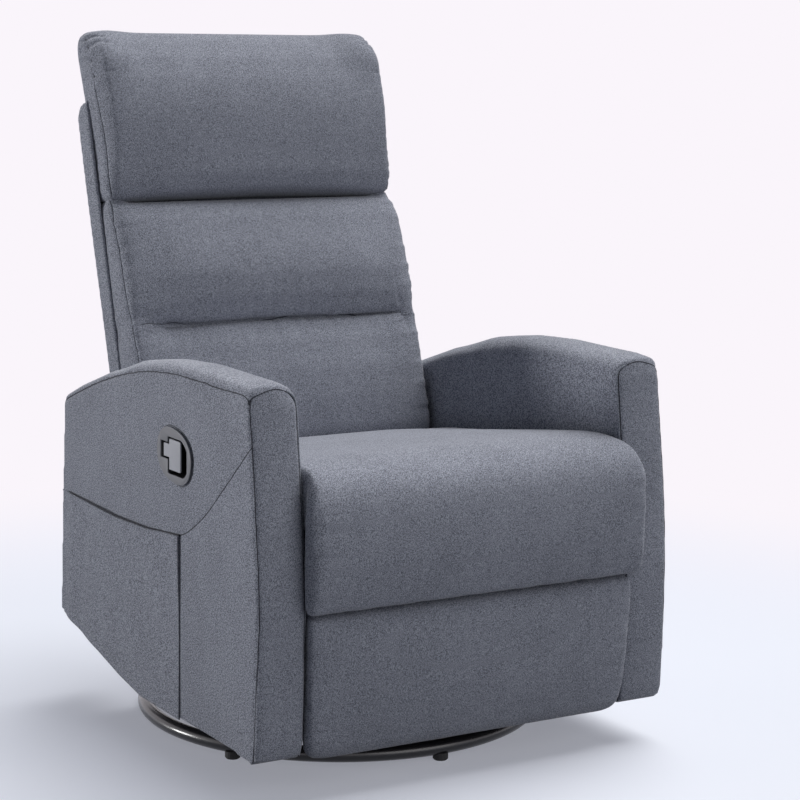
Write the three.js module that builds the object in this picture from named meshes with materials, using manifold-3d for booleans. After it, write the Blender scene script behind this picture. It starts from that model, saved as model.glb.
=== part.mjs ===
// Swivel glider recliner. Millimetres, +Z up, the sitter faces -Y.
// The origin lies on the floor, under the axis on which the chair turns.
// Left and right are the sitter's: left is +X, right is -X.
import * as THREE from "three";
import { mergeVertices } from "three/addons/utils/BufferGeometryUtils.js";
import Module from "manifold-3d";

const wasm = await Module();
wasm.setup();

// Clearances that every piece shares
const touchGap = 0.3; // between two pieces that touch
const cutOverrun = 6; // how far a cutting shape runs past what it cuts
const weldDepth = 1; // how far a stud or flange sinks into its own plate

// Whole chair
const chairWidth = 720; // over the outer arm panels
const armThickness = 79;
const cushionSideGap = 6; // between an arm and the seat
const backSideGap = 5; // between an arm and the back
const carriageSetBack = 12; // the chair body sits this far behind the swivel axis

// Base: ring, feet, arms, hub plate, bolt and bearing
const ringRadius = 318;
const ringTubeRadius = 12;
const ringLift = 8; // floor to the underside of the ring
const footCount = 6;
const footRadius = 12;
const footHug = 4; // how far a foot reaches up round the tube
const footTaper = 2;
const baseArmCount = 4;
const baseArmRadius = 11;
const baseArmInnerEnd = 36;
const baseArmShoulder = 130; // where the arm levels out under the hub plate
const hubPlateHeight = 50; // floor to the underside of the hub plate
const hubPlateSide = 200;
const plateThickness = 5;
const plateCorner = 24;
const boltRadius = 10;
const boltHeadRadius = 15;
const boltHeadHeight = 7;
const nutRadius = 16;
const nutHeight = 12;
const bearingInnerRadius = 50;
const bearingOuterRadius = 85;
const bearingHeight = 10;
const bearingChamfer = 2;

// Turntable and glide links
const turntableSide = 240;
const sidePlateOffset = 150; // swivel axis to the inside of a side plate
const sidePlateThickness = 4;
const sidePlateHalfLength = 120;
const sidePlateRise = 14; // plate above the glide axles
const sidePlateFlange = 40;
const glidePivotSpacing = 210; // front axle to rear axle
const glideAxleHeight = 179;
const glideLinkLength = 88;
const glideLinkWidth = 24;
const glideLinkThickness = 4;
const glideLinkGap = 3; // beside the side plate
const axleRadius = 5;
const axleEnd = 2; // axle past the link
const bearingFit = 0.4; // radial room of a pivot in its hole

// Carriage: hanger rails, box boards, mechanism plates
const railGap = 5; // link to rail
const railThickness = 3;
const railHeight = 35;
const railFlange = 26;
const railBelowPivot = 12;
const boardThickness = 22;
const frontBoardFace = -262; // front face of the front board
const rearBoardFace = 172; // rear face of the rear board
const seatBase = 341; // underside of the seat cushion
const mechanismThickness = 3;
const mechanismFront = -316;
const mechanismRear = 214;
const mechanismBottom = 283;
const mechanismHeight = 48;
const earWidth = 32;
const earDrop = 40;

// Back pivot and the back's own frame
const backPivotDepth = 200;
const backPivotHeight = 352;
const backTilt = THREE.MathUtils.degToRad(16);
const shellRear = 34; // pivot line to the rear face of the shell
const shellFront = 11; // pivot line to the front edge of the shell
const shellFoot = 12;
const shellHeight = 650;
const shellWall = 5;
const shellCrownRadius = 26;
const backBoardThickness = 20;
const bracketThickness = 3;
const bracketLength = 150;
const bracketWidth = 24;
const bracketSideRoom = 1.3;

// Seat springs
const springCount = 3;
const springSpacing = 150;
const springRadius = 2;
const springDepthBelowSeat = 5;
const springWaveWidth = 44;
const springWaves = 8;

// Seat cushion
const seatFront = -388.7;
const seatRear = 112;
const seatTop = 477;
const seatCrown = 3;
const seatEdgeRadius = 22;
const seatDrawIn = 3;

// Footrest: two pads in front of the seat, and the links that carry them
const padFront = -457;
const padTop = 473;
const padSplit = 278.35; // height of the joint between the two pads
const lowerPadFront = -436;
const lowerPadBottom = 57;
const padCrown = 8;
const padEdgeRadius = 24;
const padDrawIn = 4;
const linkThickness = 3;
const linkWidth = 22;
const rearLinkLength = 208.4;
const frontLinkLength = 177.4;
const rearLinkPivotDepth = -298.8;
const rearLinkPivotHeight = 299.7;
const frontLinkPivotDepth = -366;
const frontLinkPivotHeight = 263;
const linkPlaneGap = 3; // between the two link planes
const linkSideRoom = 2.4; // rear link to mechanism plate
const elbowBossRadius = 9;
const driveTubeRadius = 11;
const crossBracketThickness = 4;
const crossBracketHeight = 34;
const bracketEarWidth = 24;

// Arms
const armFront = -415; // foremost point of an arm
const armDepth = 718;
const armBottom = 64;
const armHeight = 531;
const capBase = 4; // the cap's edge strip below the seam
const capCrown = 14;
const frontBandCrown = 5;
const panelThickness = 13.7;
const innerBoardThickness = 6;
const frameRail = 20;

// Side pocket
const pocketGape = 6; // room between the pocket cloth and the panel
const pocketCloth = 2.5;
const pocketLip = 9;

// Handle: cup, lever and cable in the right arm
const cupDepth = -147; // centre of the cup, along Y
const cupDrop = 123; // top of the arm to the centre of the cup
const cupHalfLength = 59;
const cupHalfHeight = 41;
const cupTilt = THREE.MathUtils.degToRad(9);
const cupSquareness = 0.86; // 1 gives an ellipse, less fills its corners
const cupFlange = 3;
const cupInset = 6; // flange past the hole in the panel
const cupWall = 3;
const cupReach = 34; // how deep the cup goes into the arm
const leverThickness = 8;
const leverProud = 2;
const leverHinge = -110;
const leverBarrelRadius = 6;
const leverBarrelInset = 9;
const leverPinRadius = 3;
const leverRoom = 3; // between the lever and the edge of its recess
const fingerGap = 17; // in front of the paddle
const fingerRoom = 6; // under the paddle
const leverTabLength = 19;
const leverTabHeight = 20;
const leverPaddleLength = 46;
const leverPaddleHeight = 47;
const cableRadius = 2.5;
const cableEndDepth = -255;
const cableEndHeight = 308;

// Rear flap
const flapTop = 327;
const flapBottom = 93;
const flapHalfWidth = 266;
const flapCloth = 2.4;
const flapFold = 7;
const flapFolds = 6;

// Pillows of the back: foot, height, thickness at the seam and crown
const pillowEdgeRadius = 24;
const pillowDrawIn = 5;
const lumbarFoot = 24;
const lumbarHeight = 233;
const lumbarThickness = 74;
const middleFoot = 257.3;
const middleHeight = 219;
const middleThickness = 66;
const headFoot = 476.6;
const headHeight = 306;
const headThickness = 46;
const pillowCrown = 15;
const crownFlatness = 2.6; // a higher power keeps a crown level further out
const headRearReach = 32; // how far the head pillow overhangs the shell's front edge
const headStepAbove = 6; // the overhang starts this far above the shell

// Facets
const ringSteps = 48;
const ringSides = 10;
const roundSides = 16;
const tubeSides = 8;
const ovalPoints = 28;
const baseArmSteps = 8;
const cableSteps = 18;
const springStepsPerWave = 6;
const springSides = 5;
const crownSteps = 4;
const foldSteps = 4;

// Finishes
const finish = (color, roughness, metalness) =>
  new THREE.MeshStandardMaterial({ color, roughness, metalness });
const fabric = () => finish(0x59616f, 0.95, 0);
const blackCloth = () => finish(0x1c1d20, 0.95, 0);
const blackTube = () => finish(0x17181a, 0.3, 0.9);
const blackSteel = () => finish(0x26272a, 0.5, 0.8);
const wood = () => finish(0xb08d5e, 0.75, 0);
const darkPlastic = () => finish(0x3c3f44, 0.55, 0);
const rubber = () => finish(0x151515, 0.85, 0);

// Solids and cuts
function cleaned(geometry) {
  const bare = geometry.clone();
  bare.deleteAttribute("normal");
  bare.deleteAttribute("uv");
  const merged = mergeVertices(bare);
  const index = merged.index.array;
  const kept = [];
  for (let i = 0; i < index.length; i += 3) {
    const [a, b, c] = [index[i], index[i + 1], index[i + 2]];
    if (a !== b && b !== c && c !== a) kept.push(a, b, c);
  }
  merged.setIndex(kept);
  return merged;
}

function toSolid(geometry) {
  const merged = cleaned(geometry);
  const vertProperties = Float32Array.from(merged.attributes.position.array);
  const triVerts = Uint32Array.from(merged.index.array);
  return new wasm.Manifold(new wasm.Mesh({ numProp: 3, vertProperties, triVerts }));
}

function fromSolid(solid) {
  const mesh = solid.getMesh();
  const geometry = new THREE.BufferGeometry();
  const positions = new Float32Array(mesh.numVert * 3);
  for (let i = 0; i < mesh.numVert; i++) {
    for (let k = 0; k < 3; k++) positions[3 * i + k] = mesh.vertProperties[mesh.numProp * i + k];
  }
  geometry.setAttribute("position", new THREE.BufferAttribute(positions, 3));
  geometry.setIndex(new THREE.BufferAttribute(Uint32Array.from(mesh.triVerts), 1));
  return geometry;
}

const joined = (...parts) => fromSolid(parts.map(toSolid).reduce((a, b) => a.add(b)));
const cutBy = (body, ...tools) =>
  fromSolid(tools.map(toSolid).reduce((a, b) => a.subtract(b), toSolid(body)));
const common = (...parts) => fromSolid(parts.map(toSolid).reduce((a, b) => a.intersect(b)));

// Basic shapes, each placed where it belongs
function block([x0, x1], [y0, y1], [z0, z1]) {
  const geometry = new THREE.BoxGeometry(x1 - x0, y1 - y0, z1 - z0);
  return geometry.translate((x0 + x1) / 2, (y0 + y1) / 2, (z0 + z1) / 2);
}

// An outline of [y, z] points, carried along X from x0 to x1
function slab(points, [x0, x1]) {
  const shape = new THREE.Shape(points.map(([y, z]) => new THREE.Vector2(y, z)));
  const geometry = new THREE.ExtrudeGeometry(shape, { depth: x1 - x0, bevelEnabled: false });
  const turn = new THREE.Matrix4().set(0, 0, 1, x0, 1, 0, 0, 0, 0, 1, 0, 0, 0, 0, 0, 1);
  return geometry.applyMatrix4(turn);
}

function rodX([x0, x1], y, z, radius) {
  const geometry = new THREE.CylinderGeometry(radius, radius, x1 - x0, roundSides);
  return geometry.rotateZ(Math.PI / 2).translate((x0 + x1) / 2, y, z);
}

// A profile of [radius, z] points turned about Z
function turned(profile, steps = roundSides) {
  const points = profile.map(([r, z]) => new THREE.Vector2(r, z));
  return new THREE.LatheGeometry(points, steps).rotateX(Math.PI / 2);
}

function tube(points, radius, steps, sides = tubeSides) {
  const curve = new THREE.CatmullRomCurve3(points, false, "centripetal");
  const circle = new THREE.Shape();
  for (let i = 0; i < sides; i++) {
    const angle = (i / sides) * 2 * Math.PI;
    circle[i ? "lineTo" : "moveTo"](radius * Math.cos(angle), radius * Math.sin(angle));
  }
  return new THREE.ExtrudeGeometry(circle, { steps, extrudePath: curve });
}

// A closed skin over a row of rings that have the same number of points
function loft(rings) {
  const count = rings[0].length;
  const positions = rings.flat().flatMap((p) => [p.x, p.y, p.z]);
  const index = [];
  for (let r = 0; r + 1 < rings.length; r++) {
    for (let i = 0; i < count; i++) {
      const a = r * count + i;
      const b = r * count + ((i + 1) % count);
      index.push(a, b, b + count, a, b + count, a + count);
    }
  }
  const lastRing = (rings.length - 1) * count;
  const flat = rings[0].map((p) => new THREE.Vector2(p.y, p.z));
  const clockwise = THREE.ShapeUtils.isClockWise(flat);
  for (const triangle of THREE.ShapeUtils.triangulateShape(flat, [])) {
    const [a, b, c] = clockwise ? triangle.reverse() : triangle;
    index.push(c, b, a, lastRing + a, lastRing + b, lastRing + c);
  }
  const geometry = new THREE.BufferGeometry();
  geometry.setAttribute("position", new THREE.Float32BufferAttribute(positions, 3));
  geometry.setIndex(index);
  return outward(geometry);
}

// Faces are turned round where a skin encloses a negative volume
function outward(geometry) {
  const p = geometry.attributes.position;
  const index = geometry.index.array;
  const [a, b, c] = [new THREE.Vector3(), new THREE.Vector3(), new THREE.Vector3()];
  let volume = 0;
  for (let i = 0; i < index.length; i += 3) {
    a.fromBufferAttribute(p, index[i]);
    b.fromBufferAttribute(p, index[i + 1]);
    c.fromBufferAttribute(p, index[i + 2]);
    volume += a.dot(b.cross(c));
  }
  return volume < 0 ? flipped(geometry) : geometry;
}

function flipped(geometry) {
  const index = Array.from(geometry.index.array);
  for (let i = 0; i < index.length; i += 3) {
    [index[i + 1], index[i + 2]] = [index[i + 2], index[i + 1]];
  }
  geometry.setIndex(index);
  return geometry;
}

// The same piece on the other side of the chair
function onSide(side, geometry) {
  const copy = cleaned(geometry);
  return side > 0 ? copy : flipped(copy.scale(-1, 1, 1));
}

// A flat strap between two pivots, with round ends and a hole at each end that is asked for
function strap(from, to, width, holes, [x0, x1]) {
  const angle = Math.atan2(to[1] - from[1], to[0] - from[0]);
  const outline = [];
  for (const [centre, start] of [[to, angle - Math.PI / 2], [from, angle + Math.PI / 2]]) {
    for (let i = 0; i <= roundSides / 2; i++) {
      const a = start + (i / (roundSides / 2)) * Math.PI;
      outline.push([centre[0] + (width / 2) * Math.cos(a), centre[1] + (width / 2) * Math.sin(a)]);
    }
  }
  const bores = holes.map(([y, z, radius]) => rodX([x0 - cutOverrun, x1 + cutOverrun], y, z, radius));
  return bores.length ? cutBy(slab(outline, [x0, x1]), ...bores) : slab(outline, [x0, x1]);
}

// Outlines: a chain of points moved sideways, to its right
function offsetChain(chain, distance, closed = false) {
  const last = chain.length - 1;
  const side = (a, b) => {
    const length = Math.hypot(b[0] - a[0], b[1] - a[1]);
    return [(b[1] - a[1]) / length, (a[0] - b[0]) / length];
  };
  return chain.map((point, i) => {
    const before = chain[i ? i - 1 : last];
    const after = chain[i < last ? i + 1 : 0];
    const open = !closed;
    const into = open && i === 0 ? side(point, after) : side(before, point);
    const out = open && i === last ? side(before, point) : side(point, after);
    const reach = distance / (1 + into[0] * out[0] + into[1] * out[1]);
    return [point[0] + reach * (into[0] + out[0]), point[1] + reach * (into[1] + out[1])];
  });
}

// A closed outline drawn in by more than its closest points allow keeps only points that lie apart
function drawnIn(outline, distance) {
  const apart = [outline[0]];
  for (const point of outline.slice(1)) {
    const [y, z] = apart[apart.length - 1];
    const fromFirst = Math.hypot(point[0] - outline[0][0], point[1] - outline[0][1]);
    if (Math.hypot(point[0] - y, point[1] - z) > 2 * distance && fromFirst > 2 * distance) apart.push(point);
  }
  return offsetChain(apart, distance, true);
}

const holder = new THREE.Group();
const turntable = new THREE.Group();
const carriage = new THREE.Group();
const back = new THREE.Group();
carriage.position.y = carriageSetBack;
back.position.set(0, backPivotDepth, backPivotHeight);
back.rotation.x = -backTilt;
carriage.add(back);
holder.add(turntable, carriage);

function place(group, name, geometry, material) {
  const mesh = new THREE.Mesh(cleaned(geometry), material);
  mesh.name = name;
  group.add(mesh);
}

// Places that several pieces share
const ringHeight = ringLift + ringTubeRadius;
const hubTop = hubPlateHeight + plateThickness;
const turntableBottom = hubTop + touchGap + bearingHeight + touchGap;
const turntableTop = turntableBottom + plateThickness;
const glidePivots = [-glidePivotSpacing / 2, glidePivotSpacing / 2];
const glideLowerHeight = glideAxleHeight - glideLinkLength;
const linkInner = sidePlateOffset + sidePlateThickness + glideLinkGap;
const linkOuter = linkInner + glideLinkThickness;
const axleReach = linkOuter + axleEnd;
const railInner = linkOuter + railGap;
const armOuter = chairWidth / 2;
const armInner = armOuter - armThickness;
const cupHeight = armBottom + armHeight - cupDrop;
const mechanismOuter = armInner - touchGap;
const mechanismInner = mechanismOuter - mechanismThickness;
const boardHalfWidth = mechanismInner - touchGap;
const boardBottom = glideLowerHeight - railBelowPivot;
const seatHalfWidth = armInner - cushionSideGap;
const backHalfWidth = armInner - backSideGap;
const hole = axleRadius + bearingFit;

function makeBase() {
  const ringProfile = (grow) => {
    const points = [];
    for (let i = 0; i <= ringSides; i++) {
      const angle = ((i % ringSides) / ringSides) * 2 * Math.PI - Math.PI / 2;
      const radius = ringTubeRadius + grow;
      points.push([ringRadius + radius * Math.cos(angle), ringHeight + radius * Math.sin(angle)]);
    }
    return points;
  };
  const ringRoom = turned(ringProfile(touchGap), ringSteps);
  place(holder, "base_ring", turned(ringProfile(0), ringSteps), blackTube());

  const levelHeight = hubPlateHeight - touchGap - baseArmRadius;
  for (let i = 0; i < baseArmCount; i++) {
    const angle = ((i + 1 / 2) / baseArmCount) * 2 * Math.PI;
    const at = (r, z) => new THREE.Vector3(r * Math.cos(angle), r * Math.sin(angle), z);
    const path = [
      at(ringRadius, ringHeight),
      at((ringRadius + baseArmShoulder) / 2, (ringHeight + levelHeight) / 2),
      at(baseArmShoulder, levelHeight),
      at(baseArmInnerEnd, levelHeight),
    ];
    const arm = cutBy(tube(path, baseArmRadius, baseArmSteps, ringSides), ringRoom);
    const disc = [[0, 0], [ringRadius, 0], [ringRadius, hubPlateHeight], [0, hubPlateHeight]];
    const inside = turned(disc, ringSteps);
    place(holder, `base_arm_${i + 1}`, common(arm, inside), blackTube());
  }

  const footTop = ringLift + footHug;
  const footProfile = [
    [0, 0],
    [footRadius - footTaper, 0],
    [footRadius, footTaper],
    [footRadius, footTop],
    [0, footTop],
  ];
  for (let i = 0; i < footCount; i++) {
    const angle = ((i + 1 / 2) / footCount) * 2 * Math.PI;
    const foot = turned(footProfile).translate(ringRadius * Math.cos(angle), ringRadius * Math.sin(angle), 0);
    place(holder, `base_foot_${i + 1}`, cutBy(foot, ringRoom), rubber());
  }

  place(holder, "hub_plate", squarePlate(hubPlateSide, hubPlateHeight), blackSteel());
  const nutTop = hubPlateHeight - touchGap;
  const headBottom = turntableTop + touchGap;
  const bolt = [
    [0, nutTop - nutHeight],
    [nutRadius, nutTop - nutHeight],
    [nutRadius, nutTop],
    [boltRadius, nutTop],
    [boltRadius, headBottom],
    [boltHeadRadius, headBottom],
    [boltHeadRadius, headBottom + boltHeadHeight],
    [0, headBottom + boltHeadHeight],
  ];
  place(holder, "swivel_bolt", turned(bolt), blackSteel());

  const [low, high] = [hubTop + touchGap, turntableBottom - touchGap];
  const race = [
    [bearingInnerRadius, low],
    [bearingOuterRadius, low],
    [bearingOuterRadius, high - bearingChamfer],
    [bearingOuterRadius - bearingChamfer, high],
    [bearingInnerRadius, high],
    [bearingInnerRadius, low],
  ];
  place(holder, "bearing_ring", turned(race, 2 * roundSides), blackSteel());
}

// A square plate with cut corners and a hole for the swivel bolt
function squarePlate(side, bottom) {
  const half = side / 2;
  const near = half - plateCorner;
  const corners = [
    [near, half], [half, near], [half, -near], [near, -half],
    [-near, -half], [-half, -near], [-half, near], [-near, half],
  ];
  const shape = new THREE.Shape(corners.reverse().map(([x, y]) => new THREE.Vector2(x, y)));
  const bore = new THREE.Path();
  bore.absarc(0, 0, boltRadius + bearingFit, 0, 2 * Math.PI, true);
  shape.holes.push(bore);
  const options = { depth: plateThickness, bevelEnabled: false, curveSegments: roundSides / 2 };
  return new THREE.ExtrudeGeometry(shape, options).translate(0, 0, bottom);
}

function makeTurntable() {
  place(turntable, "turntable_plate", squarePlate(turntableSide, turntableBottom), blackSteel());
  const bottom = turntableTop + touchGap;
  const outer = sidePlateOffset + sidePlateThickness;
  const span = [-sidePlateHalfLength, sidePlateHalfLength];
  const web = block([sidePlateOffset, outer], span, [bottom, glideAxleHeight + sidePlateRise]);
  const flange = block([outer - sidePlateFlange, outer], span, [bottom, bottom + sidePlateThickness]);
  const through = [sidePlateOffset - cutOverrun, outer + cutOverrun];
  const bores = glidePivots.map((y) => rodX(through, y, glideAxleHeight, hole));
  const plate = cutBy(joined(web, flange), ...bores);
  for (const [word, side] of [["left", 1], ["right", -1]]) {
    place(turntable, `glider_side_plate_${word}`, onSide(side, plate), blackSteel());
  }
  for (const [word, y] of [["front", glidePivots[0]], ["rear", glidePivots[1]]]) {
    const axle = rodX([-axleReach, axleReach], y, glideAxleHeight, axleRadius);
    place(turntable, `glide_axle_${word}`, axle, blackSteel());
    const [low, high] = [[y, glideLowerHeight], [y, glideAxleHeight]];
    const link = strap(low, high, glideLinkWidth, [[...low, hole], [...high, hole]], [linkInner, linkOuter]);
    place(turntable, `glide_link_${word}_left`, onSide(1, link), blackSteel());
    place(turntable, `glide_link_${word}_right`, onSide(-1, link), blackSteel());
  }
}

function makeCarriage() {
  const frontInside = frontBoardFace + boardThickness;
  const rearInside = rearBoardFace - boardThickness;
  const boardTop = seatBase - touchGap;
  const across = [-boardHalfWidth, boardHalfWidth];
  const tall = [boardBottom, boardTop];
  place(carriage, "box_board_front", block(across, [frontBoardFace, frontInside], tall), wood());
  place(carriage, "box_board_rear", block(across, [rearInside, rearBoardFace], tall), wood());

  const run = [frontInside + touchGap, rearInside - touchGap];
  const railOuter = railInner + railThickness;
  const web = block([railInner, railOuter], run, [boardBottom, boardBottom + railHeight]);
  const flange = block([railInner, railOuter + railFlange], run, [boardBottom, boardBottom + railThickness]);
  const studInner = linkInner - touchGap;
  const stud = [studInner, railInner + weldDepth];
  const studs = glidePivots.map((y) => rodX(stud, y - carriageSetBack, glideLowerHeight, axleRadius));
  const rail = joined(web, flange, ...studs);

  const bar = [
    [mechanismFront, mechanismBottom],
    [mechanismRear, mechanismBottom],
    [mechanismRear, mechanismBottom + mechanismHeight],
    [mechanismFront, mechanismBottom + mechanismHeight],
  ];
  const sheet = [mechanismInner, mechanismOuter];
  const earFoot = [backPivotDepth, backPivotHeight - earDrop];
  const ear = strap(earFoot, [backPivotDepth, backPivotHeight], earWidth, [], sheet);
  const through = [mechanismInner - cutOverrun, mechanismOuter + cutOverrun];
  const plate = cutBy(joined(slab(bar, sheet), ear),
    rodX(through, backPivotDepth, backPivotHeight, hole),
    rodX(through, rearLinkPivotDepth, rearLinkPivotHeight, hole));
  for (const [word, side] of [["left", 1], ["right", -1]]) {
    place(carriage, `hanger_rail_${word}`, onSide(side, rail), blackSteel());
    place(carriage, `mechanism_plate_${word}`, onSide(side, plate), blackSteel());
  }
  makeSprings([frontInside + touchGap, rearInside - touchGap]);
  makeFlap();
}

// Sinuous springs run from the front board to the rear board
function makeSprings([front, rear]) {
  const height = seatBase - springDepthBelowSeat;
  const wave = (rear - front) / springWaves;
  for (let s = 0; s < springCount; s++) {
    const centre = (s - (springCount - 1) / 2) * springSpacing;
    const points = [new THREE.Vector3(centre, front - springRadius, height)];
    for (let i = 0; i < 2 * springWaves; i++) {
      const swing = ((i % 2 ? 1 : -1) * springWaveWidth) / 2;
      points.push(new THREE.Vector3(centre + swing, front + (wave / 2) * (i + 1 / 2), height));
    }
    points.push(new THREE.Vector3(centre, rear + springRadius, height));
    const reach = springWaveWidth;
    const between = block([centre - reach, centre + reach], [front, rear], [height - reach, height + reach]);
    const wire = common(tube(points, springRadius, springStepsPerWave * springWaves, springSides), between);
    place(carriage, `seat_spring_${s + 1}`, wire, blackSteel());
  }
}

// The black cloth behind the seat box hangs in shallow upright folds
function makeFlap() {
  const face = rearBoardFace + touchGap;
  const steps = foldSteps * flapFolds;
  const wave = (i) => (flapFold / 2) * (1 - Math.cos((i / steps) * 2 * Math.PI * flapFolds));
  const along = (i) => flapHalfWidth * (1 - (2 * i) / steps);
  const near = [];
  const far = [];
  for (let i = 0; i <= steps; i++) {
    near.push(new THREE.Vector2(along(i), face + wave(i)));
    far.unshift(new THREE.Vector2(along(i), face + flapCloth + wave(i)));
  }
  const shape = new THREE.Shape([...near, ...far]);
  const geometry = new THREE.ExtrudeGeometry(shape, { depth: flapTop - flapBottom, bevelEnabled: false });
  place(carriage, "rear_flap", geometry.translate(0, 0, flapBottom), blackCloth());
}

// The arm's outline as shares of its depth and height: front and top, then rear and bottom
const armFrontTopShares = [
  [0.016, 0.012], [0.008, 0.05], [0.0028, 0.2147], [0, 0.4407], [0.006, 0.56], [0.0139, 0.6704],
  [0.026, 0.8], [0.037, 0.92], [0.041, 0.965], [0.053, 0.99], [0.09, 0.9945], [0.1727, 0.996],
  [0.3106, 1], [0.4471, 0.992], [0.5891, 0.968], [0.7409, 0.921], [0.8886, 0.859], [0.9749, 0.8155],
];
const armRearBottomShares = [
  [0.988, 0.48], [1, 0.143], [0.9, 0.115], [0.8259, 0.092], [0.69, 0.05],
  [0.5487, 0.015], [0.4, 0.012], [0.2437, 0.012], [0.0947, 0.0085], [0.026, 0.001],
];
const inArm = ([yShare, zShare]) => [armFront + yShare * armDepth, armBottom + zShare * armHeight];

// The cap's section: shares of the arm's thickness from the inside, and of the crown above the seam
const capSectionShares = [
  [1, 0], [0.93, 0.6], [0.78, 0.93], [0.55, 1], [0.3, 0.86], [0.13, 0.45], [0.02, -0.1],
];

function armCap() {
  const chain = armFrontTopShares.map(inArm);
  const outer = offsetChain(chain, -1);
  const rings = chain.map(([y, z], i) => {
    const normal = [outer[i][0] - y, outer[i][1] - z];
    const upward = Math.max(0, Math.min(1, normal[1]));
    const crown = frontBandCrown + (capCrown - frontBandCrown) * upward * upward;
    const at = (xShare, lift) =>
      new THREE.Vector3(armInner + xShare * armThickness, y + normal[0] * lift, z + normal[1] * lift);
    const top = capSectionShares.map(([xShare, nShare]) => at(xShare, nShare * crown));
    return [at(1, -capBase), ...top, at(0, -capBase)];
  });
  return loftAlong(rings);
}

// Like loft, for a row of rings that turns from upright to level
function loftAlong(rings) {
  const geometry = loft(rings.map((ring) => ring.map((p) => new THREE.Vector3(p.y, p.x, p.z))));
  const p = geometry.attributes.position;
  for (let i = 0; i < p.count; i++) p.setXYZ(i, p.getY(i), p.getX(i), p.getZ(i));
  return outward(geometry);
}

function armOutline() {
  const inset = offsetChain(armFrontTopShares.map(inArm), capBase + touchGap);
  return [...inset, ...armRearBottomShares.map(inArm)];
}

// Pocket: the hem as shares of the arm's depth and height
const pocketHemShares = [
  [0.3524, 0.5425], [0.5084, 0.5198], [0.6657, 0.5066], [0.8217, 0.5104], [1.1, 0.516],
];

function sidePocket(outline) {
  const inner = armOuter + touchGap;
  const outer = inner + pocketGape + pocketCloth;
  const hem = pocketHemShares.map(inArm);
  const [seamDepth] = hem[0];
  const beyond = hem[hem.length - 1][0];
  const below = armBottom - cutOverrun;
  const above = armBottom + armHeight;
  const region = [[seamDepth, below], [beyond, below], ...hem.slice().reverse()];
  const shape = common(slab(outline, [inner, outer]), slab(region, [inner, outer]));
  const room = [inner - cutOverrun, inner + pocketGape];
  const mouthStart = seamDepth + pocketLip;
  const openTop = [[mouthStart, below], [beyond, below], [beyond, above], [mouthStart, above]];
  const cavity = common(slab(drawnIn(outline, pocketLip), room), slab(openTop, room));
  return cutBy(shape, cavity);
}

// The handle's oval, grown or shrunk, about its tilted centre
function handleOval(grow) {
  const points = [];
  for (let i = 0; i < ovalPoints; i++) {
    const a = (i / ovalPoints) * 2 * Math.PI;
    const soft = (v) => Math.sign(v) * Math.abs(v) ** cupSquareness;
    const y = (cupHalfLength + grow) * soft(Math.cos(a));
    const z = (cupHalfHeight + grow) * soft(Math.sin(a));
    const [c, s] = [Math.cos(cupTilt), Math.sin(cupTilt)];
    points.push([cupDepth + y * c - z * s, cupHeight + y * s + z * c]);
  }
  return points;
}

function makeArms() {
  const outline = armOutline();
  const panelInner = armOuter - panelThickness;
  const frameOuter = panelInner - touchGap;
  const frameBody = slab(outline, [armInner, frameOuter]);
  const hollow = slab(drawnIn(outline, frameRail), [armInner + innerBoardThickness, frameOuter + cutOverrun]);
  const frame = cutBy(frameBody, hollow);
  const panel = slab(outline, [panelInner, armOuter]);
  const throughBoard = [armInner - cutOverrun, armInner + innerBoardThickness + cutOverrun];
  const cableBore = rodX(throughBoard, cableEndDepth, cableEndHeight, cableRadius + touchGap);
  const cupHole = slab(handleOval(touchGap - cupInset), [panelInner - cutOverrun, armOuter + cutOverrun]);
  const pocket = sidePocket(outline);
  for (const [word, side] of [["left", 1], ["right", -1]]) {
    const handed = side < 0;
    place(carriage, `arm_frame_${word}`, onSide(side, handed ? cutBy(frame, cableBore) : frame), wood());
    place(carriage, `arm_panel_${word}`, onSide(side, handed ? cutBy(panel, cupHole) : panel), fabric());
    place(carriage, `arm_cap_${word}`, onSide(side, armCap()), fabric());
    place(carriage, `side_pocket_${word}`, onSide(side, pocket), fabric());
  }
}

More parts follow.
